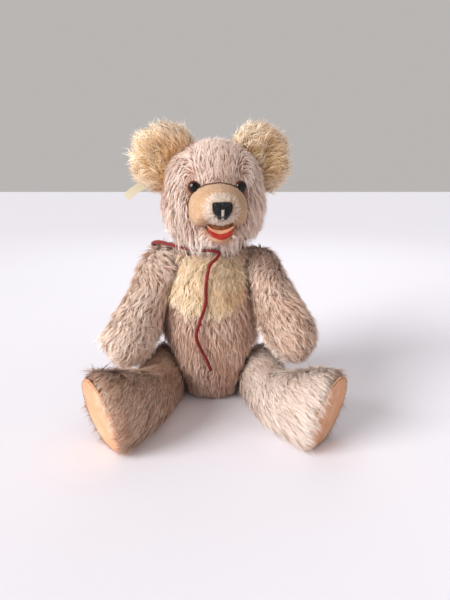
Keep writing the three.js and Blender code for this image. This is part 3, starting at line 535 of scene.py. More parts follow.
def lock_set(name, kind, copies, seed):
    """A collection of different locks of one kind."""
    locks = bpy.data.collections.new(name)
    draw = random.Random(seed)
    for i in range(copies):
        mesh = bmesh.new()
        layers = {label: mesh.verts.layers.float.new(label) for label in ("along", "strand")}
        for _ in range(kind["strands"]):
            add_strand(mesh, layers, draw, kind)
        data = bpy.data.meshes.new(f"{name} {i}")
        mesh.to_mesh(data)
        mesh.free()
        for face in data.polygons:
            face.use_smooth = True
        locks.objects.link(bpy.data.objects.new(f"{name} {i}", data))
    return locks


COMBED = dict(strands=6, segments=2, spread=1.1 * MM, lift=(0.35, 0.65), droop=(0.24, 0.45), wave=0.03, turns=1.0,
              width=0.36 * MM)
CURLY = dict(strands=6, segments=3, spread=1.3 * MM, lift=(0.5, 1.0), droop=(0.35, 0.6), wave=0.17, turns=1.3,
             width=0.36 * MM)
SLEEK = dict(strands=6, segments=2, spread=1.1 * MM, lift=(0.2, 0.42), droop=(0.12, 0.3), wave=0.02, turns=1.0,
             width=0.34 * MM)
HANGING = dict(strands=6, segments=3, spread=1.2 * MM, lift=(0.9, 1.3), droop=(0.25, 0.45), wave=0.08, turns=1.2,
               width=0.36 * MM)
CLIPPED = dict(strands=12, segments=1, spread=2.2 * MM, lift=(0.3, 0.7), droop=(0.1, 0.2), wave=0.0, turns=1.0,
               width=2.6 * MM)
combed_locks = lock_set("combed lock", COMBED, 6, 11)
curly_locks = lock_set("curly lock", CURLY, 6, 12)
sleek_locks = lock_set("sleek lock", SLEEK, 6, 14)
hanging_locks = lock_set("hanging lock", HANGING, 6, 15)
clipped_locks = lock_set("clipped lock", CLIPPED, 6, 13)

# %% [markdown]
# ## Growing the pile
# The tree strews points over a skin, turns a lock at each so that it lies along the combing, and gives it the
# length that is written on the skin. After that the tips wander a little together, as combed hair does, and
# strands that would go through the floor lie on it. The strands' normals lean towards the skin's own, so that
# the coat takes light as a whole.

# %% The pile tree
pile_tree, given, result = geometry_tree(
    "Pile",
    [("Locks", "NodeSocketCollection"), ("Kinds", "NodeSocketInt"), ("Density", "NodeSocketFloat"),
     ("Clump Distance", "NodeSocketFloat"), ("Clumping", "NodeSocketFloat"), ("Wander", "NodeSocketFloat"),
     ("Ruffle", "NodeSocketFloat"), ("Lock Length", "NodeSocketFloat"),
     ("Floor", "NodeSocketFloat"), ("Seed", "NodeSocketInt"), ("Material", "NodeSocketMaterial")],
)


EVENNESS = 0.79


def written(name, kind="FLOAT"):
    return put(pile_tree, "GeometryNodeInputNamedAttribute", {"Name": name}, data_type=kind).outputs["Attribute"]


def drawn(low, high, offset):
    seed = maths(pile_tree, "ADD", given["Seed"], offset)
    node = put(pile_tree, "FunctionNodeRandomValue", {2: low, 3: high, "Seed": seed}, data_type="FLOAT")
    return node.outputs[1]


spacing = maths(pile_tree, "MULTIPLY", maths(pile_tree, "POWER", given["Density"], -0.5), EVENNESS)
tries = maths(pile_tree, "MULTIPLY", given["Density"], 4.0)
inputs = {"Mesh": given["Geometry"], "Distance Min": spacing, "Density Max": tries,
          "Density Factor": written("cover"), "Seed": given["Seed"]}
strewn = put(pile_tree, "GeometryNodeDistributePointsOnFaces", inputs, distribute_method="POISSON").outputs
inputs = {"Mesh": given["Geometry"], "Distance Min": given["Clump Distance"], "Density Max": 1e6, "Seed": given["Seed"]}
centres = put(pile_tree, "GeometryNodeDistributePointsOnFaces", inputs, distribute_method="POISSON").outputs[0]
where = put(pile_tree, "GeometryNodeInputPosition").outputs[0]
nearest = put(pile_tree, "GeometryNodeSampleNearest", {"Geometry": centres}, domain="POINT").outputs[0]
inputs = {"Geometry": centres, "Value": where, "Index": nearest}
centre = put(pile_tree, "GeometryNodeSampleIndex", inputs, data_type="FLOAT_VECTOR", domain="POINT").outputs[0]
inputs = {"Geometry": strewn["Points"], "Name": "pull", "Value": vectors(pile_tree, "SUBTRACT", centre, where)}
roots = put(pile_tree, "GeometryNodeStoreNamedAttribute", inputs, data_type="FLOAT_VECTOR", domain="POINT").outputs[0]
inputs = {"Primary Axis": strewn["Normal"], "Secondary Axis": written("comb", "FLOAT_VECTOR")}
lie = put(pile_tree, "FunctionNodeAxesToRotation", inputs, primary_axis="Z", secondary_axis="X").outputs[0]
ruffle = given["Ruffle"]
sway = put(pile_tree, "ShaderNodeCombineXYZ", {
    "X": maths(pile_tree, "MULTIPLY", drawn(-0.3, 0.3, 1), ruffle),
    "Y": maths(pile_tree, "MULTIPLY", drawn(-0.16, 0.12, 2), ruffle),
    "Z": maths(pile_tree, "MULTIPLY", drawn(-0.4, 0.4, 3), ruffle),
}).outputs[0]
sway = put(pile_tree, "FunctionNodeEulerToRotation", {"Euler": sway}).outputs[0]
inputs = {"Rotation": lie, "Rotate By": sway}
turned = put(pile_tree, "FunctionNodeRotateRotation", inputs, rotation_space="LOCAL").outputs[0]
size = maths(pile_tree, "DIVIDE", written("pile"), given["Lock Length"])
size = maths(pile_tree, "MULTIPLY", size, drawn(0.78, 1.16, 4))
inputs = {"Collection": given["Locks"], "Separate Children": True, "Reset Children": True}
locks = put(pile_tree, "GeometryNodeCollectionInfo", inputs).outputs[0]
pick = put(pile_tree, "FunctionNodeRandomValue", {4: 0, 5: given["Kinds"], "Seed": given["Seed"]}, data_type="INT").outputs[2]
inputs = {"Points": roots, "Instance": locks, "Pick Instance": True, "Instance Index": pick,
          "Rotation": turned, "Scale": size}
planted = put(pile_tree, "GeometryNodeInstanceOnPoints", inputs).outputs[0]
inputs = {"Geometry": planted, "Name": "tone", "Value": drawn(0.0, 1.0, 5)}
planted = put(pile_tree, "GeometryNodeStoreNamedAttribute", inputs, data_type="FLOAT", domain="INSTANCE").outputs[0]
coat = put(pile_tree, "GeometryNodeRealizeInstances", {"Geometry": planted}).outputs[0]
print("pile tree has", len(pile_tree.nodes), "nodes so far")

# %% The end of the pile tree: wander, floor, normals and material
along = written("along")
bent = maths(pile_tree, "POWER", along, 1.5)
gathered = scaled(pile_tree, written("pull", "FLOAT_VECTOR"), maths(pile_tree, "MULTIPLY", bent, given["Clumping"]))
coat = put(pile_tree, "GeometryNodeSetPosition", {"Geometry": coat, "Offset": gathered}).outputs[0]
reach = maths(pile_tree, "MULTIPLY", bent, given["Wander"])
for scale, part in ((60.0, 2.0), (240.0, 0.9)):
    drift = put(pile_tree, "ShaderNodeTexNoise", {"Vector": where, "Scale": scale, "Detail": 1.0}).outputs["Color"]
    drift = vectors(pile_tree, "SUBTRACT", drift, (0.5, 0.5, 0.5))
    drift = scaled(pile_tree, drift, maths(pile_tree, "MULTIPLY", reach, part))
    coat = put(pile_tree, "GeometryNodeSetPosition", {"Geometry": coat, "Offset": drift}).outputs[0]
spot = put(pile_tree, "ShaderNodeSeparateXYZ", {0: where}).outputs
rise = maths(pile_tree, "MAXIMUM", spot["Z"], given["Floor"])
spot = put(pile_tree, "ShaderNodeCombineXYZ", {"X": spot["X"], "Y": spot["Y"], "Z": rise}).outputs[0]
coat = put(pile_tree, "GeometryNodeSetPosition", {"Geometry": coat, "Position": spot}).outputs[0]
own = put(pile_tree, "GeometryNodeInputNormal").outputs["Normal"]
facing = vectors(pile_tree, "ADD", scaled(pile_tree, strewn["Normal"], 1.3), own)
facing = vectors(pile_tree, "NORMALIZE", facing)
coat = put(pile_tree, "GeometryNodeSetMeshNormal", {"Mesh": coat}, mode="FREE", domain="POINT")
pile_tree.links.new(facing, coat.inputs["Custom Normal"])
coat = coat.outputs[0]
for label in ("comb", "pile", "cover", "pull"):
    coat = put(pile_tree, "GeometryNodeRemoveAttribute", {"Geometry": coat, "Name": label}).outputs[0]
inputs = {"Geometry": coat, "Material": given["Material"]}
pile_tree.links.new(put(pile_tree, "GeometryNodeSetMaterial", inputs).outputs[0], result.inputs[0])


# %% Combing and sowing
def skin_arrays(mesh):
    """The places and normals of a skin's vertices, as arrays of rows."""
    places = np.zeros(len(mesh.vertices) * 3)
    normals = np.zeros(len(mesh.vertices) * 3)
    mesh.vertices.foreach_get("co", places)
    mesh.vertex_normals.foreach_get("vector", normals)
    return places.reshape(-1, 3), normals.reshape(-1, 3)


NOISE_SEED = 5
noise.seed_set(NOISE_SEED)


def swirl(places, scale, seed):
    """A smooth random vector at each place, which changes over a distance of about scale."""
    shift = Vector((seed * 3.7, seed * 1.9, seed * 5.3))
    return np.array([noise.noise_vector(Vector(p) / scale + shift) for p in places])


def write(mesh, name, values):
    kind = "FLOAT_VECTOR" if values.ndim == 2 else "FLOAT"
    attribute = mesh.attributes.new(name, kind, "POINT")
    attribute.data.foreach_set("vector" if values.ndim == 2 else "value", values.astype(np.float32).ravel())


def grow_pile(name, skin, body, material, comb, pile, cover, seed, locks=None, density=245e3, wander=1.6 * MM,
              ruffle=1.0, clumps=4.5 * MM, clumping=0.45):
    """Pile over a skin: comb is its direction, pile its length and cover its share of the full density."""
    sown = skin.copy()
    for label, values in (("comb", comb), ("pile", pile), ("cover", cover)):
        write(sown, label, values)
    locks = locks or combed_locks
    values = {"Locks": locks, "Kinds": len(locks.objects) - 1, "Density": density, "Wander": wander, "Ruffle": ruffle,
              "Clump Distance": clumps, "Clumping": clumping,
              "Lock Length": LOCK_LENGTH, "Floor": FLOOR_CLEARANCE, "Seed": seed, "Material": material}
    piece = grown(name, sown, pile_tree, values)
    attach(piece, body)
    print(name, triangles(piece.data), "triangles")
    return piece


def step(values, low, high):
    """0 below low, 1 above high and smooth between."""
    t = np.clip((values - low) / (high - low), 0, 1)
    return t * t * (3 - 2 * t)


DOWN = np.array((0.0, 0.0, -1.0))
joint_at = {joint["child"]: np.array(joint["pos_m"]) for joint in frame["joints"]}
joint_axis = {joint["child"]: np.array(joint["axis"]) for joint in frame["joints"]}

# %% [markdown]
# ## The coat of the torso
# The pile of the torso is combed down. It lies flatter under the cord, and there is none on the flats where
# the limbs turn. A bib of longer gold pile is let in at the chest, and hangs over its lower edge.

# %% Torso and bib
places, normals = skin_arrays(torso_skin)


def clear_of_joints(places, names, radius):
    """1 over a skin, and 0 on the flats that it shares with the named limbs."""
    open_skin = np.ones(len(places))
    for name in names:
        offset = places - joint_at[name]
        depth = np.abs(offset @ joint_axis[name])
        across = np.linalg.norm(offset - np.outer(offset @ joint_axis[name], joint_axis[name]), axis=1)
        open_skin *= 1 - (1 - step(depth, 3.0 * MM, 5.0 * MM)) * (1 - step(across, radius, 1.2 * radius))
    return open_skin


BIB_MIDDLE = np.array((-4, 0, 129)) * MM
BIB_HALF = np.array((33, 27)) * MM
bib_x = (places[:, 0] - BIB_MIDDLE[0]) / BIB_HALF[0]
bib_z = (places[:, 2] - BIB_MIDDLE[2]) / BIB_HALF[1]
bib_edge = np.abs(bib_x) ** 2.4 + np.maximum(-bib_z, 0) ** 2.4
bib = (1 - step(bib_edge, 0.9, 1.1)) * (places[:, 1] < -10 * MM) * (bib_z < 0.9)

cord_rows = np.array([tuple(p) for p in cord_line])
cord_reach = np.min(np.linalg.norm(places[:, None, :] - cord_rows[None, ::4, :], axis=2), axis=1)
collar = step(places[:, 2], 143 * MM, 153 * MM)
pressed = 0.5 + 0.5 * np.maximum(step(cord_reach, 5 * MM, 11 * MM), collar)
outward = places * np.array((1, 1, 0))
outward /= np.linalg.norm(outward, axis=1)[:, None]
falling = np.outer(1 - collar, DOWN) + collar[:, None] * (outward + np.array((0, 0, 0.5)))

shoulder = step(places[:, 2], 122 * MM, 138 * MM) * step(np.abs(places[:, 0]), 14 * MM, 26 * MM)
falling += shoulder[:, None] * (1.0 * outward + np.array((0, 0, 0.3)))
bare = clear_of_joints(places, ["arm_left", "arm_right", "leg_left", "leg_right", "head"], 24 * MM)
bare *= step(places[:, 2], 0.5 * MM, 4 * MM)
comb = falling + 0.35 * swirl(places, 28 * MM, 1) + 0.2 * swirl(places, 9 * MM, 2)
grow_pile("torso_pile", torso_skin, "torso", taupe_pile, comb,
          14.5 * MM * pressed * (1 + 0.3 * shoulder), bare * (1 - bib), 21, ruffle=0.8, clumps=3.5 * MM, clumping=0.4)
comb = falling + 0.8 * swirl(places, 16 * MM, 3)
grow_pile("bib_pile", torso_skin, "torso", gold_pile, comb, 15.5 * MM * pressed, bare * bib, 22,
          curly_locks, 440e3, 4 * MM, 1.3, 6.5 * MM, 0.7)

# %% Loose pile on the shoulders, which fills them out under the cord
beside = np.maximum(step(np.abs(places[:, 0]), 12 * MM, 20 * MM), step(places[:, 1], 8 * MM, 14 * MM))
loose = step(places[:, 2], 132 * MM, 142 * MM) * beside * (1 - bib)
comb = outward + np.array((0, 0, 0.4)) + 0.5 * swirl(places, 9 * MM, 7)
grow_pile("shoulder_pile", torso_skin, "torso", taupe_pile, comb, np.full(len(places), 14 * MM),
          loose, 28, hanging_locks, 180e3, 2 * MM, 1.2, 4 * MM, 0.4)

# %% [markdown]
# ## The coat of the head
# Pile falls from the crown over the brow and parts round the muzzle. It is left off where the muzzle, the
# chin and the eyes come through, and the ears have long gold pile that stands out all round.

# %% The head's own frame
HEAD_TURN = math.radians(7)
NECK = np.array((3, 3, 157)) * MM
turn = np.array(Matrix.Rotation(HEAD_TURN, 3, "Z"))


def head_place(x, y, z):
    """A place given in millimetres in the head's own frame, which sits on the neck and is turned."""
    return NECK + turn @ (np.array((x, y, z)) * MM)


def near_mesh(places, mesh, reach):
    """1 where a skin lies further than reach from a mesh, and 0 at the mesh."""
    tree = BVHTree.FromPolygons([v.co for v in mesh.vertices], [p.vertices for p in mesh.polygons])
    distance = np.array([tree.find_nearest(Vector(p))[3] for p in places])
    return step(distance, 0.6 * reach, reach)


def near_node(places, node, reach):
    return near_mesh(places, frame["nodes"][node].data, reach)


def in_head(places):
    """Places in millimetres in the head's own frame."""
    return (places - NECK) @ turn / MM


# %% The form of the muzzle, with full lower corners
MUZZLE_RISE = 42
CORNER_OUT = 2.5 * MM
CORNER_DOWN = 3.5 * MM
muzzle_skin = stuffed_form(["muzzle"], 1.6 * MM, 4, -0.2 * MM)
places, normals = skin_arrays(muzzle_skin)
own = in_head(places)
corner = step(MUZZLE_RISE - own[:, 2], 0, 12) * step(np.abs(own[:, 0]), 8, 20)
places += np.outer(CORNER_OUT * corner * np.sign(own[:, 0]), turn @ np.array((1.0, 0, 0)))
places += np.outer(CORNER_DOWN * corner, DOWN)
muzzle_skin.vertices.foreach_set("co", places.ravel())
muzzle_skin.update()
print("muzzle", len(muzzle_skin.vertices), "vertices")

# %% Head
places, normals = skin_arrays(head_skin)
own = in_head(places)
face = step(-own[:, 1], 5, 30)
aside = np.sign(own[:, 0]) * step(np.abs(own[:, 0]), 6, 30)
comb = np.tile(DOWN, (len(places), 1))
comb += np.outer(0.2 * aside * face, turn @ np.array((1.0, 0, 0)))
comb += np.outer(0.4 * (1 - face), turn @ np.array((0, 1.0, 0)))
under = step(-normals[:, 2], 0.2, 0.7)
outward = (places - NECK) * np.array((1, 1, 0))
comb += under[:, None] * 1.5 * outward / np.linalg.norm(outward, axis=1)[:, None]
gusset = step(own[:, 2], 50, 58) * (1 - step(np.abs(own[:, 0]), 17, 30)) * face
comb += np.outer(gusset, turn @ np.array((0, 0.5, 2.0)))
comb += np.outer(0.7 * aside * (1 - np.abs(2 * gusset - 1)), turn @ np.array((1.0, 0, 0)))
comb += 0.4 * swirl(places, 24 * MM, 4) + 0.3 * swirl(places, 9 * MM, 5)
cover = clear_of_joints(places, ["head"], 24 * MM)
cover *= near_mesh(places, muzzle_skin, 1.6 * MM)
for node, reach in (("chin", 1.4 * MM), ("eye_left", 3 * MM), ("eye_right", 3 * MM)):
    cover *= near_node(places, node, reach)
cheek = step(np.abs(own[:, 0]), 22, 40) * (1 - step(own[:, 2], 46, 64))
comb += np.outer(0.35 * cheek * np.sign(own[:, 0]), turn @ np.array((1.0, 0, 0)))
pile = 11.5 * MM * (1 + 0.6 * cheek)
pile *= 0.4 + 0.6 * near_node(places, "eye_left", 7 * MM) * near_node(places, "eye_right", 7 * MM)
grow_pile("head_pile", head_skin, "head", head_pile, comb, pile, cover, 23, density=300e3,
          ruffle=0.9, clumps=3 * MM, clumping=0.35)

# %% A fringe of short hairs over the muzzle
fringe = gusset * near_mesh(places, muzzle_skin, 0.8 * MM) * (1 - near_mesh(places, muzzle_skin, 9 * MM))
comb = np.tile(turn @ np.array((0, 0, 1.0)), (len(places), 1)) + 0.4 * swirl(places, 6 * MM, 8)
grow_pile("brow_fringe", head_skin, "head", head_pile, comb, np.full(len(places), 8 * MM), fringe, 29,
          density=900e3, ruffle=1.2, clumps=2.2 * MM, clumping=0.5)

# %% Whitish fluff under the cheeks, which hangs over the cord
fluff = step(-own[:, 1], 6, 16) * (1 - step(own[:, 2], 12, 22)) * near_node(places, "chin", 1.4 * MM)
fluff *= near_mesh(places, muzzle_skin, 1.6 * MM) * (1 - step(np.abs(own[:, 0] + 9), 24, 34))
comb = np.tile(DOWN, (len(places), 1)) + 0.5 * outward / np.linalg.norm(outward, axis=1)[:, None]
comb += 0.4 * swirl(places, 9 * MM, 6)
grow_pile("jaw_fluff", head_skin, "head", cheek_fluff, comb, np.full(len(places), 16 * MM), fluff, 27,
          hanging_locks, 220e3, ruffle=1.1, clumps=5 * MM, clumping=0.5)

# %% A pale tuft that falls over one eye
tuft_reach = np.linalg.norm(places - head_place(26, -37, 66), axis=1)
tuft = np.exp(-(tuft_reach / (4 * MM)) ** 2)
comb = np.tile(DOWN, (len(places), 1)) + np.outer(np.full(len(places), -0.25), turn @ np.array((1.0, 0, 0)))
grow_pile("brow_tuft", head_skin, "head", white_fuzz, comb, np.full(len(places), 10 * MM), tuft, 26,
          density=700e3, clumps=3 * MM)

# %% Ears
head_middle = head_place(0, 0, 48)
for side, seed in (("left", 61), ("right", 62)):
    places, normals = skin_arrays(ear_skins[side])
    away = places - head_middle
    comb = away / np.linalg.norm(away, axis=1)[:, None] + 1.2 * swirl(places, 11 * MM, seed)
    from_middle = places - np.mean(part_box(f"ear_{side}"), axis=0)
    rim = step(np.hypot(from_middle[:, 0], from_middle[:, 2]), 15 * MM, 27 * MM)
    # The inner part of each ear has a darker gold pile, partly the ear's own gold and partly painted shade of its fold;
    # the rim has paler cream pile.
    for name, material, length, cover, extra in (("pile", ear_gold_and_shade_pile, 12 * MM, 1 - 0.8 * rim, 0),
                                                 ("rim", cream_pile, 14.0 * MM, 0.1 + 0.9 * rim, 2)):
        grow_pile(f"ear_{side}_{name}", ear_skins[side], "head", material, comb,
                  np.full(len(places), length), cover, seed + extra, curly_locks, 370e3, 4 * MM, 1.2, 6.5 * MM, 0.7)

# %% [markdown]
# ## The coats of the limbs
# Pile on a limb is combed from the joint to the paw or the sole. The axis of a limb is the direction in
# which its skin is longest, which numpy gives from the spread of its vertices.

# %% Arms and legs
def limb_axis(places, joint):
    middle = places.mean(0)
    axis = np.linalg.svd(places - middle, full_matrices=False)[2][0]
    return axis if axis @ (middle - joint) > 0 else -axis


TUFT = np.array((-96, -44, 79)) * MM
TUFT_REACH = 6 * MM
CROWN_FROM, CROWN_FULL = 0.25, 0.65
CROWN_FALL, CROWN_RUFFLE = 2.0, 2.4
limb_looks = {
    ("arm", "left"): (arm_left_shaded_pile, combed_locks, 14 * MM, 31, 1.2),
    ("arm", "right"): (arm_right_lit_pile, combed_locks, 14 * MM, 32, 1.2),
    ("leg", "left"): (leg_left_pile, sleek_locks, 20 * MM, 33, 0.55),
    ("leg", "right"): (leg_right_pile, sleek_locks, 20 * MM, 34, 0.55),
}
for (limb, side), (material, locks, length, seed, ruffle) in limb_looks.items():
    skin = limb_skins[limb, side]
    places, normals = skin_arrays(skin)
    body = f"{limb}_{side}"
    comb = limb_axis(places, joint_at[body]) + 0.4 * ruffle * swirl(places, 26 * MM, seed)
    comb += 0.3 * ruffle * swirl(places, 9 * MM, seed + 9)
    pad = f"foot_pad_{side}" if limb == "leg" else f"paw_pad_{side}"
    cover = clear_of_joints(places, [body], 20 * MM) * near_node(places, pad, 1.8 * MM)
    cover *= step(places[:, 2], 0.5 * MM, 3 * MM)
    pile = np.full(len(places), length)
    if limb == "leg":
        comb += 0.25 * DOWN
        outer = step(np.sign(joint_at[body][0]) * (places[:, 0] - np.mean(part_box(pad), axis=0)[0]), -12 * MM, 4 * MM)
        pile *= 1 - (0.4 + 0.25 * outer) * (1 - near_node(places, pad, 16 * MM))
    if limb == "arm":
        top = step(places[:, 2], 122 * MM, 142 * MM)
        comb += np.outer(top, (-1.0 * np.sign(joint_at[body][0]), -0.4, 0.2))
    if body == "arm_right":
        tuft = np.exp(-(np.linalg.norm(places - TUFT, axis=1) / TUFT_REACH) ** 2)
        comb += np.outer(5 * tuft, (-1.0, 0, 0.3)) + np.outer(0.4 * top, (0, 0, 1.0))
        pile *= 1 + 0.9 * tuft + 0.3 * top
    against = -np.sum(normals * comb, axis=1) / np.linalg.norm(comb, axis=1)
    crown = step(against, CROWN_FROM, CROWN_FULL)[:, None]
    comb += crown * (CROWN_FALL * DOWN + CROWN_RUFFLE * swirl(places, 8 * MM, seed + 20))
    grow_pile(f"{body}_pile", skin, body, material, comb, pile, cover, seed, locks,
              density=320e3, wander=2.5 * MM * ruffle, ruffle=ruffle, clumps=4.5 * MM, clumping=0.55)

# %% A pale rim of pile along one sole
skin = limb_skins["leg", "right"]
places, normals = skin_arrays(skin)
rim = near_node(places, "foot_pad_right", 1.2 * MM) * (1 - near_node(places, "foot_pad_right", 9 * MM))
rim *= step(places[:, 0] - np.mean(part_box("foot_pad_right"), axis=0)[0], -2 * MM, 8 * MM)
comb = limb_axis(places, joint_at["leg_right"]) + 0.9 * swirl(places, 8 * MM, 37)
grow_pile("sole_rim", skin, "leg_right", arm_right_lit_pile, comb, np.full(len(places), 9 * MM), rim, 37,
          combed_locks, 420e3, 2 * MM, 1.2, 4 * MM, 0.4)

# %% Whitish fluff at the edges of the palms
PALM_EDGE = {"left": np.array((66, -44, 62)) * MM, "right": np.array((-60, -44, 66)) * MM}
for side, seed in (("left", 35), ("right", 36)):
    skin = limb_skins["arm", side]
    places, normals = skin_arrays(skin)
    inward = -np.sign(PALM_EDGE[side][0])
    rim = near_node(places, f"paw_pad_{side}", 1.2 * MM) * (1 - near_node(places, f"paw_pad_{side}", 9 * MM))
    edge = np.exp(-(np.linalg.norm(places - PALM_EDGE[side], axis=1) / (12 * MM)) ** 2)
    rim = np.maximum(rim, edge) * near_node(places, f"paw_pad_{side}", 1.2 * MM)
    comb = np.array((inward, -0.3, -0.5)) + 0.8 * swirl(places, 8 * MM, seed)
    grow_pile(f"palm_{side}_fluff", skin, f"arm_{side}", white_fuzz, comb, np.full(len(places), 11 * MM),
              rim, seed, curly_locks, 330e3, 3 * MM, 1.6, 4 * MM, 0.5)

# %% [markdown]
# ## The muzzle
# The muzzle is a dome of clipped velour. Its nap is the same pile tree with very short blades, and round the
# nose, where it has been kissed most, it has worn to a longer whitish fuzz that lies away from the nose.

# %% Muzzle
skin_piece("muzzle_velour", muzzle_skin, "head", ["muzzle"], "velour", velour)
places, normals = skin_arrays(muzzle_skin)
NOSE_MIDDLE = head_place(0, -79, 39)
from_nose = places - NOSE_MIDDLE
nose_reach = np.linalg.norm(from_nose, axis=1)
own = in_head(places)
shown = step(-own[:, 1], 38, 42) * near_node(places, "nose_stitching", 1.0 * MM)
comb = from_nose / nose_reach[:, None] + 0.9 * swirl(places, 8 * MM, 41)
grow_pile("muzzle_nap", muzzle_skin, "head", muzzle_nap, comb, np.full(len(places), 1.8 * MM), shown, 41,
          clipped_locks, 380e3, 0.3 * MM, 1.0, 3 * MM, 0.0)
fuzzy = (1 - step(nose_reach, 10 * MM, 18 * MM)) * near_node(places, "nose_stitching", 0.6 * MM)
fuzzy *= step(-own[:, 1], 38, 42) * (0.55 + 0.45 * step(-own[:, 0], -8, 2))
grow_pile("nose_fuzz", muzzle_skin, "head", nose_white, comb, np.full(len(places), 4.5 * MM), fuzzy, 42,
          combed_locks, 4.0e6, 1.2 * MM, 2.4, 1.6 * MM, 0.3)

# %% [markdown]
# ## The mouth
# Under the muzzle a felt lip, a red felt tongue and a small padded chin make an open, smiling mouth. A copy
# of the lip, set back and up, lines the palate in a darker felt that is painted shade of the open mouth. The
# sides of the chin are covered with short pale pile.

# %% Lip, tongue, chin and palate
mouth_pieces = (
    ("chin", chin_velour, "velour", 0.2 * MM),
    ("mouth_lip", lip_felt, "felt_peach", 0.0),
    ("mouth_tongue", red_felt, "felt_red", 0.6 * MM),
)
mouth_skins = {}
for node, material, slot, fullness in mouth_pieces:
    mouth_skins[node] = stuffed_form([node], 0.8 * MM, 3, -fullness)
    skin_piece(f"{node}_felt", mouth_skins[node], "head", [node], slot, material)
# The palate is the lip's shape set back and up, in a darker felt: painted shade inside the open mouth.
PALATE_RISE = 3.2 * MM
PALATE_SETBACK = 4 * MM
palate_skin = mouth_skins["mouth_lip"].copy()
palate_skin.transform(Matrix.Translation(Vector(turn @ np.array((0, PALATE_SETBACK, PALATE_RISE)))))
palate_skin.materials.clear()
palate_skin.materials.append(palate_felt)
palate = new_object("palate_felt", palate_skin)
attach(palate, "head")

# %% Pale pile on the sides of the chin
places, normals = skin_arrays(mouth_skins["chin"])
own = in_head(places)
sides = np.clip(step(np.abs(own[:, 0]), 6, 9) + step(-own[:, 2], -11.5, -9.5), 0, 1)
comb = np.tile(DOWN, (len(places), 1)) + 0.5 * swirl(places, 10 * MM, 43)
comb += np.outer(0.5 * np.sign(own[:, 0]), turn @ np.array((1.0, 0, 0)))
grow_pile("chin_pile", mouth_skins["chin"], "head", cheek_fluff, comb, np.full(len(places), 9 * MM),
          sides, 43, density=480e3, clumps=2.5 * MM)

# %% [markdown]
# ## The nose
# The nose is worked in upright satin stitches of black floss, side by side. Each is a short route from the top
# of the nose to its lower edge, laid on the CAD nose by casting a ray at it from the front. Where the middle
# stitches have worn away a few pale threads show.

# %% Nose stitches
NOSE_RISE = 39
NOSE_WIDTH = 17
NOSE_HEIGHT = 15
FLOSS = 0.9
WEAR_HALF = 1.3
WEAR_TOP = 40.5
nose_meshes = [frame["nodes"][node].data for node in ("nose_stitching", "muzzle")]


def ray_target(meshes):
    """A tree of the faces of several meshes, to cast rays at."""
    corners = []
    faces = []
    for mesh in meshes:
        faces.extend([[len(corners) + i for i in face.vertices] for face in mesh.polygons])
        corners.extend([vertex.co.copy() for vertex in mesh.vertices])
    return BVHTree.FromPolygons(corners, faces)


def laid_on(target, x, z, rise):
    """The place on a target in front of the face, at x and z of the head's frame, raised by a little."""
    straight_back = Vector(turn @ np.array((0, 1.0, 0)))
    hit = target.ray_cast(Vector(head_place(x, -120, z)), straight_back)[0]
    return hit - rise * MM * straight_back


def nose_span(x):
    """The lowest and the highest place of a stitch at x."""
    share = min(abs(x) / (NOSE_WIDTH / 2), 1)
    low = NOSE_RISE - NOSE_HEIGHT / 2 + 0.5 * NOSE_HEIGHT * share ** 2.8
    high = NOSE_RISE + NOSE_HEIGHT / 2 - 0.1 * NOSE_HEIGHT * share ** 6
    return low, high


nose_target = ray_target(nose_meshes)
draw = random.Random(51)
dark_stitches = []
pale_stitches = []
for i in range(-10, 11):
    x = i * 0.8
    low, high = nose_span(x)
    low += draw.uniform(-0.3, 0.3)
    high += draw.uniform(-0.4, 0.4)
    if abs(x) < WEAR_HALF:
        pale_stitches.append([laid_on(nose_target, x, z, 2.3) for z in np.linspace(low + 1.2, WEAR_TOP, 6)])
        low = WEAR_TOP
    dark_stitches.append([laid_on(nose_target, x, z, 0.1) for z in np.linspace(low, high, 7)])
black_floss = felt_finish("black floss", "0c0b10", "1c1a20", 1800.0, 200.0, 0.1 * MM)
pale_floss = felt_finish("worn floss", "f4ecdc", "e6dac4", 1800.0, 200.0, 0.1 * MM)
for name, stitches, material in (("nose_floss", dark_stitches, black_floss), ("nose_wear", pale_stitches, pale_floss)):
    values = {"Radius": FLOSS / 2 * MM, "Twist": 4 * MM, "Material": material}
    piece = grown(name, line_curve(name, stitches), cord_tree, values)
    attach(piece, "head")
print(len(dark_stitches), "nose stitches")

# %% [markdown]
# ## Eyes
# The eyes are flattened glass beads, nearly black, with a brown rim. How far a point lies from the middle of
# its bead is written on the mesh, and the colour is mixed by that.

# %% Eyes
EYE_FULLNESS = 1.2
eye_brown, tree, shader = finish("eye glass", 0.07, Specular_IOR_Level=0.3)
rim = put(tree, "ShaderNodeAttribute", attribute_name="rim").outputs["Fac"]
speckle = blended(tree, grain(tree, 900.0), shade("3a140a"), shade("6a2c16"))
tree.links.new(blended(tree, ramp(tree, rim, 0.6, 0.85), shade("0a0405"), speckle), shader.inputs["Base Color"])
for side in ("left", "right"):
    bead = stuffed_form([f"eye_{side}"], 0.7 * MM, 4, 0.0)
    places, normals = skin_arrays(bead)
    middle = places.mean(0)
    places = middle + EYE_FULLNESS * (places - middle)
    bead.vertices.foreach_set("co", places.ravel())
    bead.update()
    offset = (places - middle) @ turn
    spread = np.hypot(offset[:, 0], offset[:, 2])
    write(bead, "rim", spread / spread.max())
    piece = new_object(f"eye_{side}_bead", bead)
    bead.materials.clear()
    bead.materials.append(eye_brown)
    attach(piece, "head")
    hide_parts(f"eye_{side}")
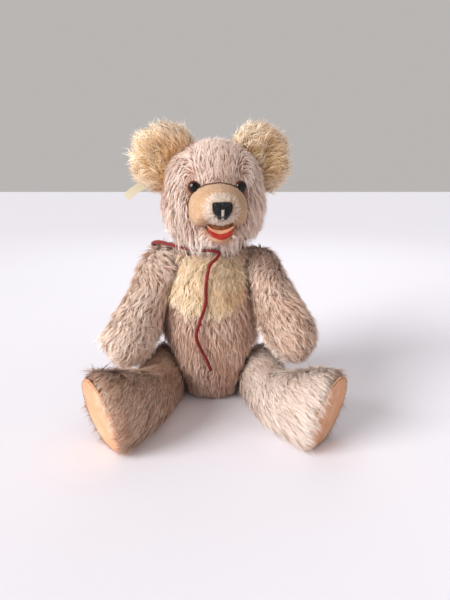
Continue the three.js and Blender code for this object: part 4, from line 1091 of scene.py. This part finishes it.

# %% [markdown]
# ## Felt pads
# The soles and palms are cut from felt and sewn in with small dark stitches. A sole is nearly flat and a little
# crowned, so the CAD pad is remeshed finely, and its smoothed edge turns in to the seam. The stitches
# are one small bead of thread, repeated along the edge of each sole by Geometry Nodes; the palms get none.

# %% The stitch tree
stitch_tree, given, result = geometry_tree(
    "Stitches",
    [("Spacing", "NodeSocketFloat"), ("Length", "NodeSocketFloat"), ("Radius", "NodeSocketFloat"),
     ("Material", "NodeSocketMaterial")],
)
inputs = {"Curve": given["Geometry"], "Length": given["Spacing"]}
spots = put(stitch_tree, "GeometryNodeCurveToPoints", inputs, mode="LENGTH").outputs
bead = put(stitch_tree, "GeometryNodeMeshUVSphere", {"Segments": 6, "Rings": 4, "Radius": 1.0}).outputs[0]
half = maths(stitch_tree, "MULTIPLY", given["Length"], 0.5)
inputs = {"X": half, "Y": given["Radius"], "Z": given["Radius"]}
shape = put(stitch_tree, "ShaderNodeCombineXYZ", inputs).outputs[0]
inputs = {"Primary Axis": spots["Tangent"], "Secondary Axis": (0.0, 0.0, 1.0)}
lie = put(stitch_tree, "FunctionNodeAxesToRotation", inputs, primary_axis="X", secondary_axis="Z").outputs[0]
inputs = {"Points": spots["Points"], "Instance": bead, "Rotation": lie, "Scale": shape}
sewn = put(stitch_tree, "GeometryNodeInstanceOnPoints", inputs).outputs[0]
sewn = put(stitch_tree, "GeometryNodeRealizeInstances", {"Geometry": sewn}).outputs[0]
inputs = {"Geometry": sewn, "Material": given["Material"]}
stitch_tree.links.new(put(stitch_tree, "GeometryNodeSetMaterial", inputs).outputs[0], result.inputs[0])
# Brown thread for the stitches; the same colour paints the shade line round the muzzle.
brown_thread_and_shade = felt_finish("brown thread and painted shade", "4a2c1c", "6a4630", 1800.0, 200.0, 0.1 * MM)


def stitches(name, line, body, spacing, length, radius, closed=True):
    values = {"Spacing": spacing, "Length": length, "Radius": radius, "Material": brown_thread_and_shade}
    piece = grown(name, line_curve(name, [line], closed), stitch_tree, values)
    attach(piece, body)
    return piece


# %% The edge of a pad
EDGE_DIRECTIONS = 120


def pad_edge(places, inset, rise):
    """A closed line a little inside the edge of a flat pad, on its outer side."""
    middle = places.mean(0)
    across, along, out = np.linalg.svd(places - middle, full_matrices=False)[2]
    out = out if out[1] < 0 else -out
    flat = np.stack(((places - middle) @ across, (places - middle) @ along), axis=1)
    line = []
    for angle in np.linspace(0, 2 * math.pi, EDGE_DIRECTIONS, endpoint=False):
        facing = np.array((math.cos(angle), math.sin(angle)))
        far = flat[np.argmax(flat @ facing)]
        far = far * (1 - inset / np.linalg.norm(far))
        corner = middle + far[0] * across + far[1] * along + rise * out
        if not line or np.linalg.norm(corner - line[-1]) > 1e-4:
            line.append(corner)
    return [Vector(p) for p in line]


# %% Felt pads and their stitches
for side in ("left", "right"):
    for pad, limb, voxel in (("foot_pad", "leg", 1.2 * MM), ("paw_pad", "arm", 1.0 * MM)):
        skin = stuffed_form([f"{pad}_{side}"], voxel, 3, 0.0)
        body = f"{limb}_{side}"
        skin_piece(f"{pad}_{side}_felt", skin, body, [f"{pad}_{side}"], "felt_peach", peach_felt)
        if limb == "leg":
            places, normals = skin_arrays(skin)
            edge = smooth_route(pad_edge(places, 1.4 * MM, 0.9 * MM), 3)
            stitches(f"sole_{side}_stitches", edge, body, 3.4 * MM, 2.6 * MM, 0.35 * MM)

# %% The stitched edge of the chin
chin_target = ray_target([mouth_skins["chin"]])
CHIN_STITCH_HALF = 8.5
chin_line = [laid_on(chin_target, x, 10.2 + 0.05 * x * x, 0.0) for x in np.linspace(-CHIN_STITCH_HALF, CHIN_STITCH_HALF, 9)]
stitches("chin_stitches", chin_line, "head", 1.9 * MM, 1.5 * MM, 0.25 * MM, False)

# %% A brown line round the muzzle, painted shade of the gap where the muzzle is sewn into the head
SHADE_LINE_RADIUS = 0.7 * MM
MUZZLE_FLATTENING = 0.75
head_target = ray_target([head_skin])
muzzle_target = ray_target([muzzle_skin])


def face_depth(target, x, z):
    """How far a ray from the front goes at x and z of the head's frame before it meets the target."""
    distance = target.ray_cast(Vector(head_place(x, -120, z)), Vector(turn @ np.array((0, 1.0, 0))))[3]
    return math.inf if distance is None else distance


def shade_line_place(angle):
    """The place in a direction from the middle of the muzzle where the muzzle goes into the head."""
    for reach in np.arange(14, 40, 0.2):
        x = reach * math.cos(angle)
        z = MUZZLE_RISE + MUZZLE_FLATTENING * reach * math.sin(angle)
        if face_depth(muzzle_target, x, z) > face_depth(head_target, x, z):
            break
    x += SHADE_LINE_RADIUS / MM * math.cos(angle)
    z += SHADE_LINE_RADIUS / MM * math.sin(angle)
    return laid_on(head_target, x, z, 1.8)


shade_line_points = [shade_line_place(angle) for angle in np.radians(np.arange(-30, 211, 4))]
values = {"Radius": SHADE_LINE_RADIUS, "Twist": 3 * MM, "Material": brown_thread_and_shade}
# The line is a brown tube that paints the shade in the gap between the muzzle and the head.
shade_line = grown("muzzle_seam", line_curve("muzzle shade line", [smooth_route(shade_line_points, 2)]), cord_tree, values)
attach(shade_line, "head")
print("shade_line", triangles(shade_line.data), "triangles")

# %% [markdown]
# ## Tag and what is inside
# A blank woven tape is sewn into one ear. Inside the bear are wood wool, and at each joint two hardboard discs,
# two washers and a cotter pin. They are hardly ever seen, but a joint turned far shows some of them, and a part
# in a library may be opened.

# %% Tape, wood wool, hardboard and steel
tape, tree, shader = finish("woven tape", 0.85, Sheen_Weight=0.1)
weft = put(tree, "ShaderNodeTexWave", {"Vector": place(tree), "Scale": 700.0, "Distortion": 1.0}).outputs["Fac"]
tree.links.new(blended(tree, weft, shade("c4b899"), shade("ddd2b8")), shader.inputs["Base Color"])
bump(tree, shader, weft, 0.4, 0.1 * MM)
wood_wool, tree, shader = finish("wood wool", 0.9)
stretched = put(tree, "ShaderNodeMapping", {"Vector": place(tree), "Scale": (1.0, 0.3, 2.0)}).outputs[0]
curls = grain(tree, 320.0, 4.0, stretched)
tree.links.new(blended(tree, ramp(tree, curls, 0.35, 0.65), shade("8a6c3c"), shade("d2b67c")), shader.inputs["Base Color"])
bump(tree, shader, curls, 0.8, 1.5 * MM)
hardboard, tree, shader = finish("hardboard", 0.75)
pulp = grain(tree, 600.0, 5.0)
tree.links.new(blended(tree, pulp, shade("5a3a22"), shade("7c5636")), shader.inputs["Base Color"])
steel, tree, shader = finish("steel", 0.35, Metallic=1.0)
scuffs = grain(tree, 500.0, 3.0)
tree.links.new(blended(tree, scuffs, shade("8c8a86"), shade("b4b2ae")), shader.inputs["Base Color"])
inside_looks = {"stuffing": wood_wool, "disc": hardboard, "washer": steel, "pin": steel, "tag": tape, "stitching": black_floss}
for name, node in frame["nodes"].items():
    ending = name.rsplit("_", 1)[-1]
    if ending in inside_looks:
        node.data.materials.clear()
        node.data.materials.append(inside_looks[ending])

# %% [markdown]
# ## Stage
# A plain pale floor, a pale surround and large soft lamps, as in a small studio.

# %% Floor, lamps and surround
floor_mesh = bmesh.new()
bmesh.ops.create_grid(floor_mesh, x_segments=2, y_segments=2, size=6)
floor_data = bpy.data.meshes.new("floor")
floor_mesh.to_mesh(floor_data)
floor_mesh.free()
floor = new_object("floor", floor_data)
floor_finish, tree, shader = finish("pale floor", 0.7)
tree.links.new(blended(tree, grain(tree, 3.0), shade("efedf5"), shade("f3f1f9")), shader.inputs["Base Color"])
floor_data.materials.append(floor_finish)


def lamp(name, place, target, size, power, colour=(1, 1, 1)):
    data = bpy.data.lights.new(name, "AREA")
    data.size = size
    data.energy = power
    data.color = colour
    light = bpy.data.objects.new(name, data)
    light.location = place
    light.rotation_euler = (Vector(target) - Vector(place)).to_track_quat("-Z", "Y").to_euler()
    scene.collection.objects.link(light)


MIDDLE = (0, -0.03, 0.13)
sun = bpy.data.lights.new("key", "SUN")
sun.energy = 4.0
sun.angle = math.radians(35)
key = bpy.data.objects.new("key", sun)
key.rotation_euler = Vector((0.95, 0.6, -0.48)).to_track_quat("-Z", "Y").to_euler()
scene.collection.objects.link(key)
lamp("fill", (0.8, -0.6, 0.5), MIDDLE, 0.9, 0.8, (1, 0.76, 0.64))
lamp("back", (0.1, 0.8, 0.9), MIDDLE, 0.8, 2)
world = bpy.data.worlds.new("studio")
scene.world = world
world.use_nodes = True
world.node_tree.nodes["Background"].inputs["Color"].default_value = (0.97, 0.93, 0.91, 1)
world.node_tree.nodes["Background"].inputs["Strength"].default_value = 0.5
scene.view_settings.view_transform = "Standard"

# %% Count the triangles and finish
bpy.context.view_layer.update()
made = [piece for piece in scene.objects if piece.type == "MESH" and piece.name not in frame["nodes"]]
print(sum(triangles(piece.data) for piece in made), "triangles in all")
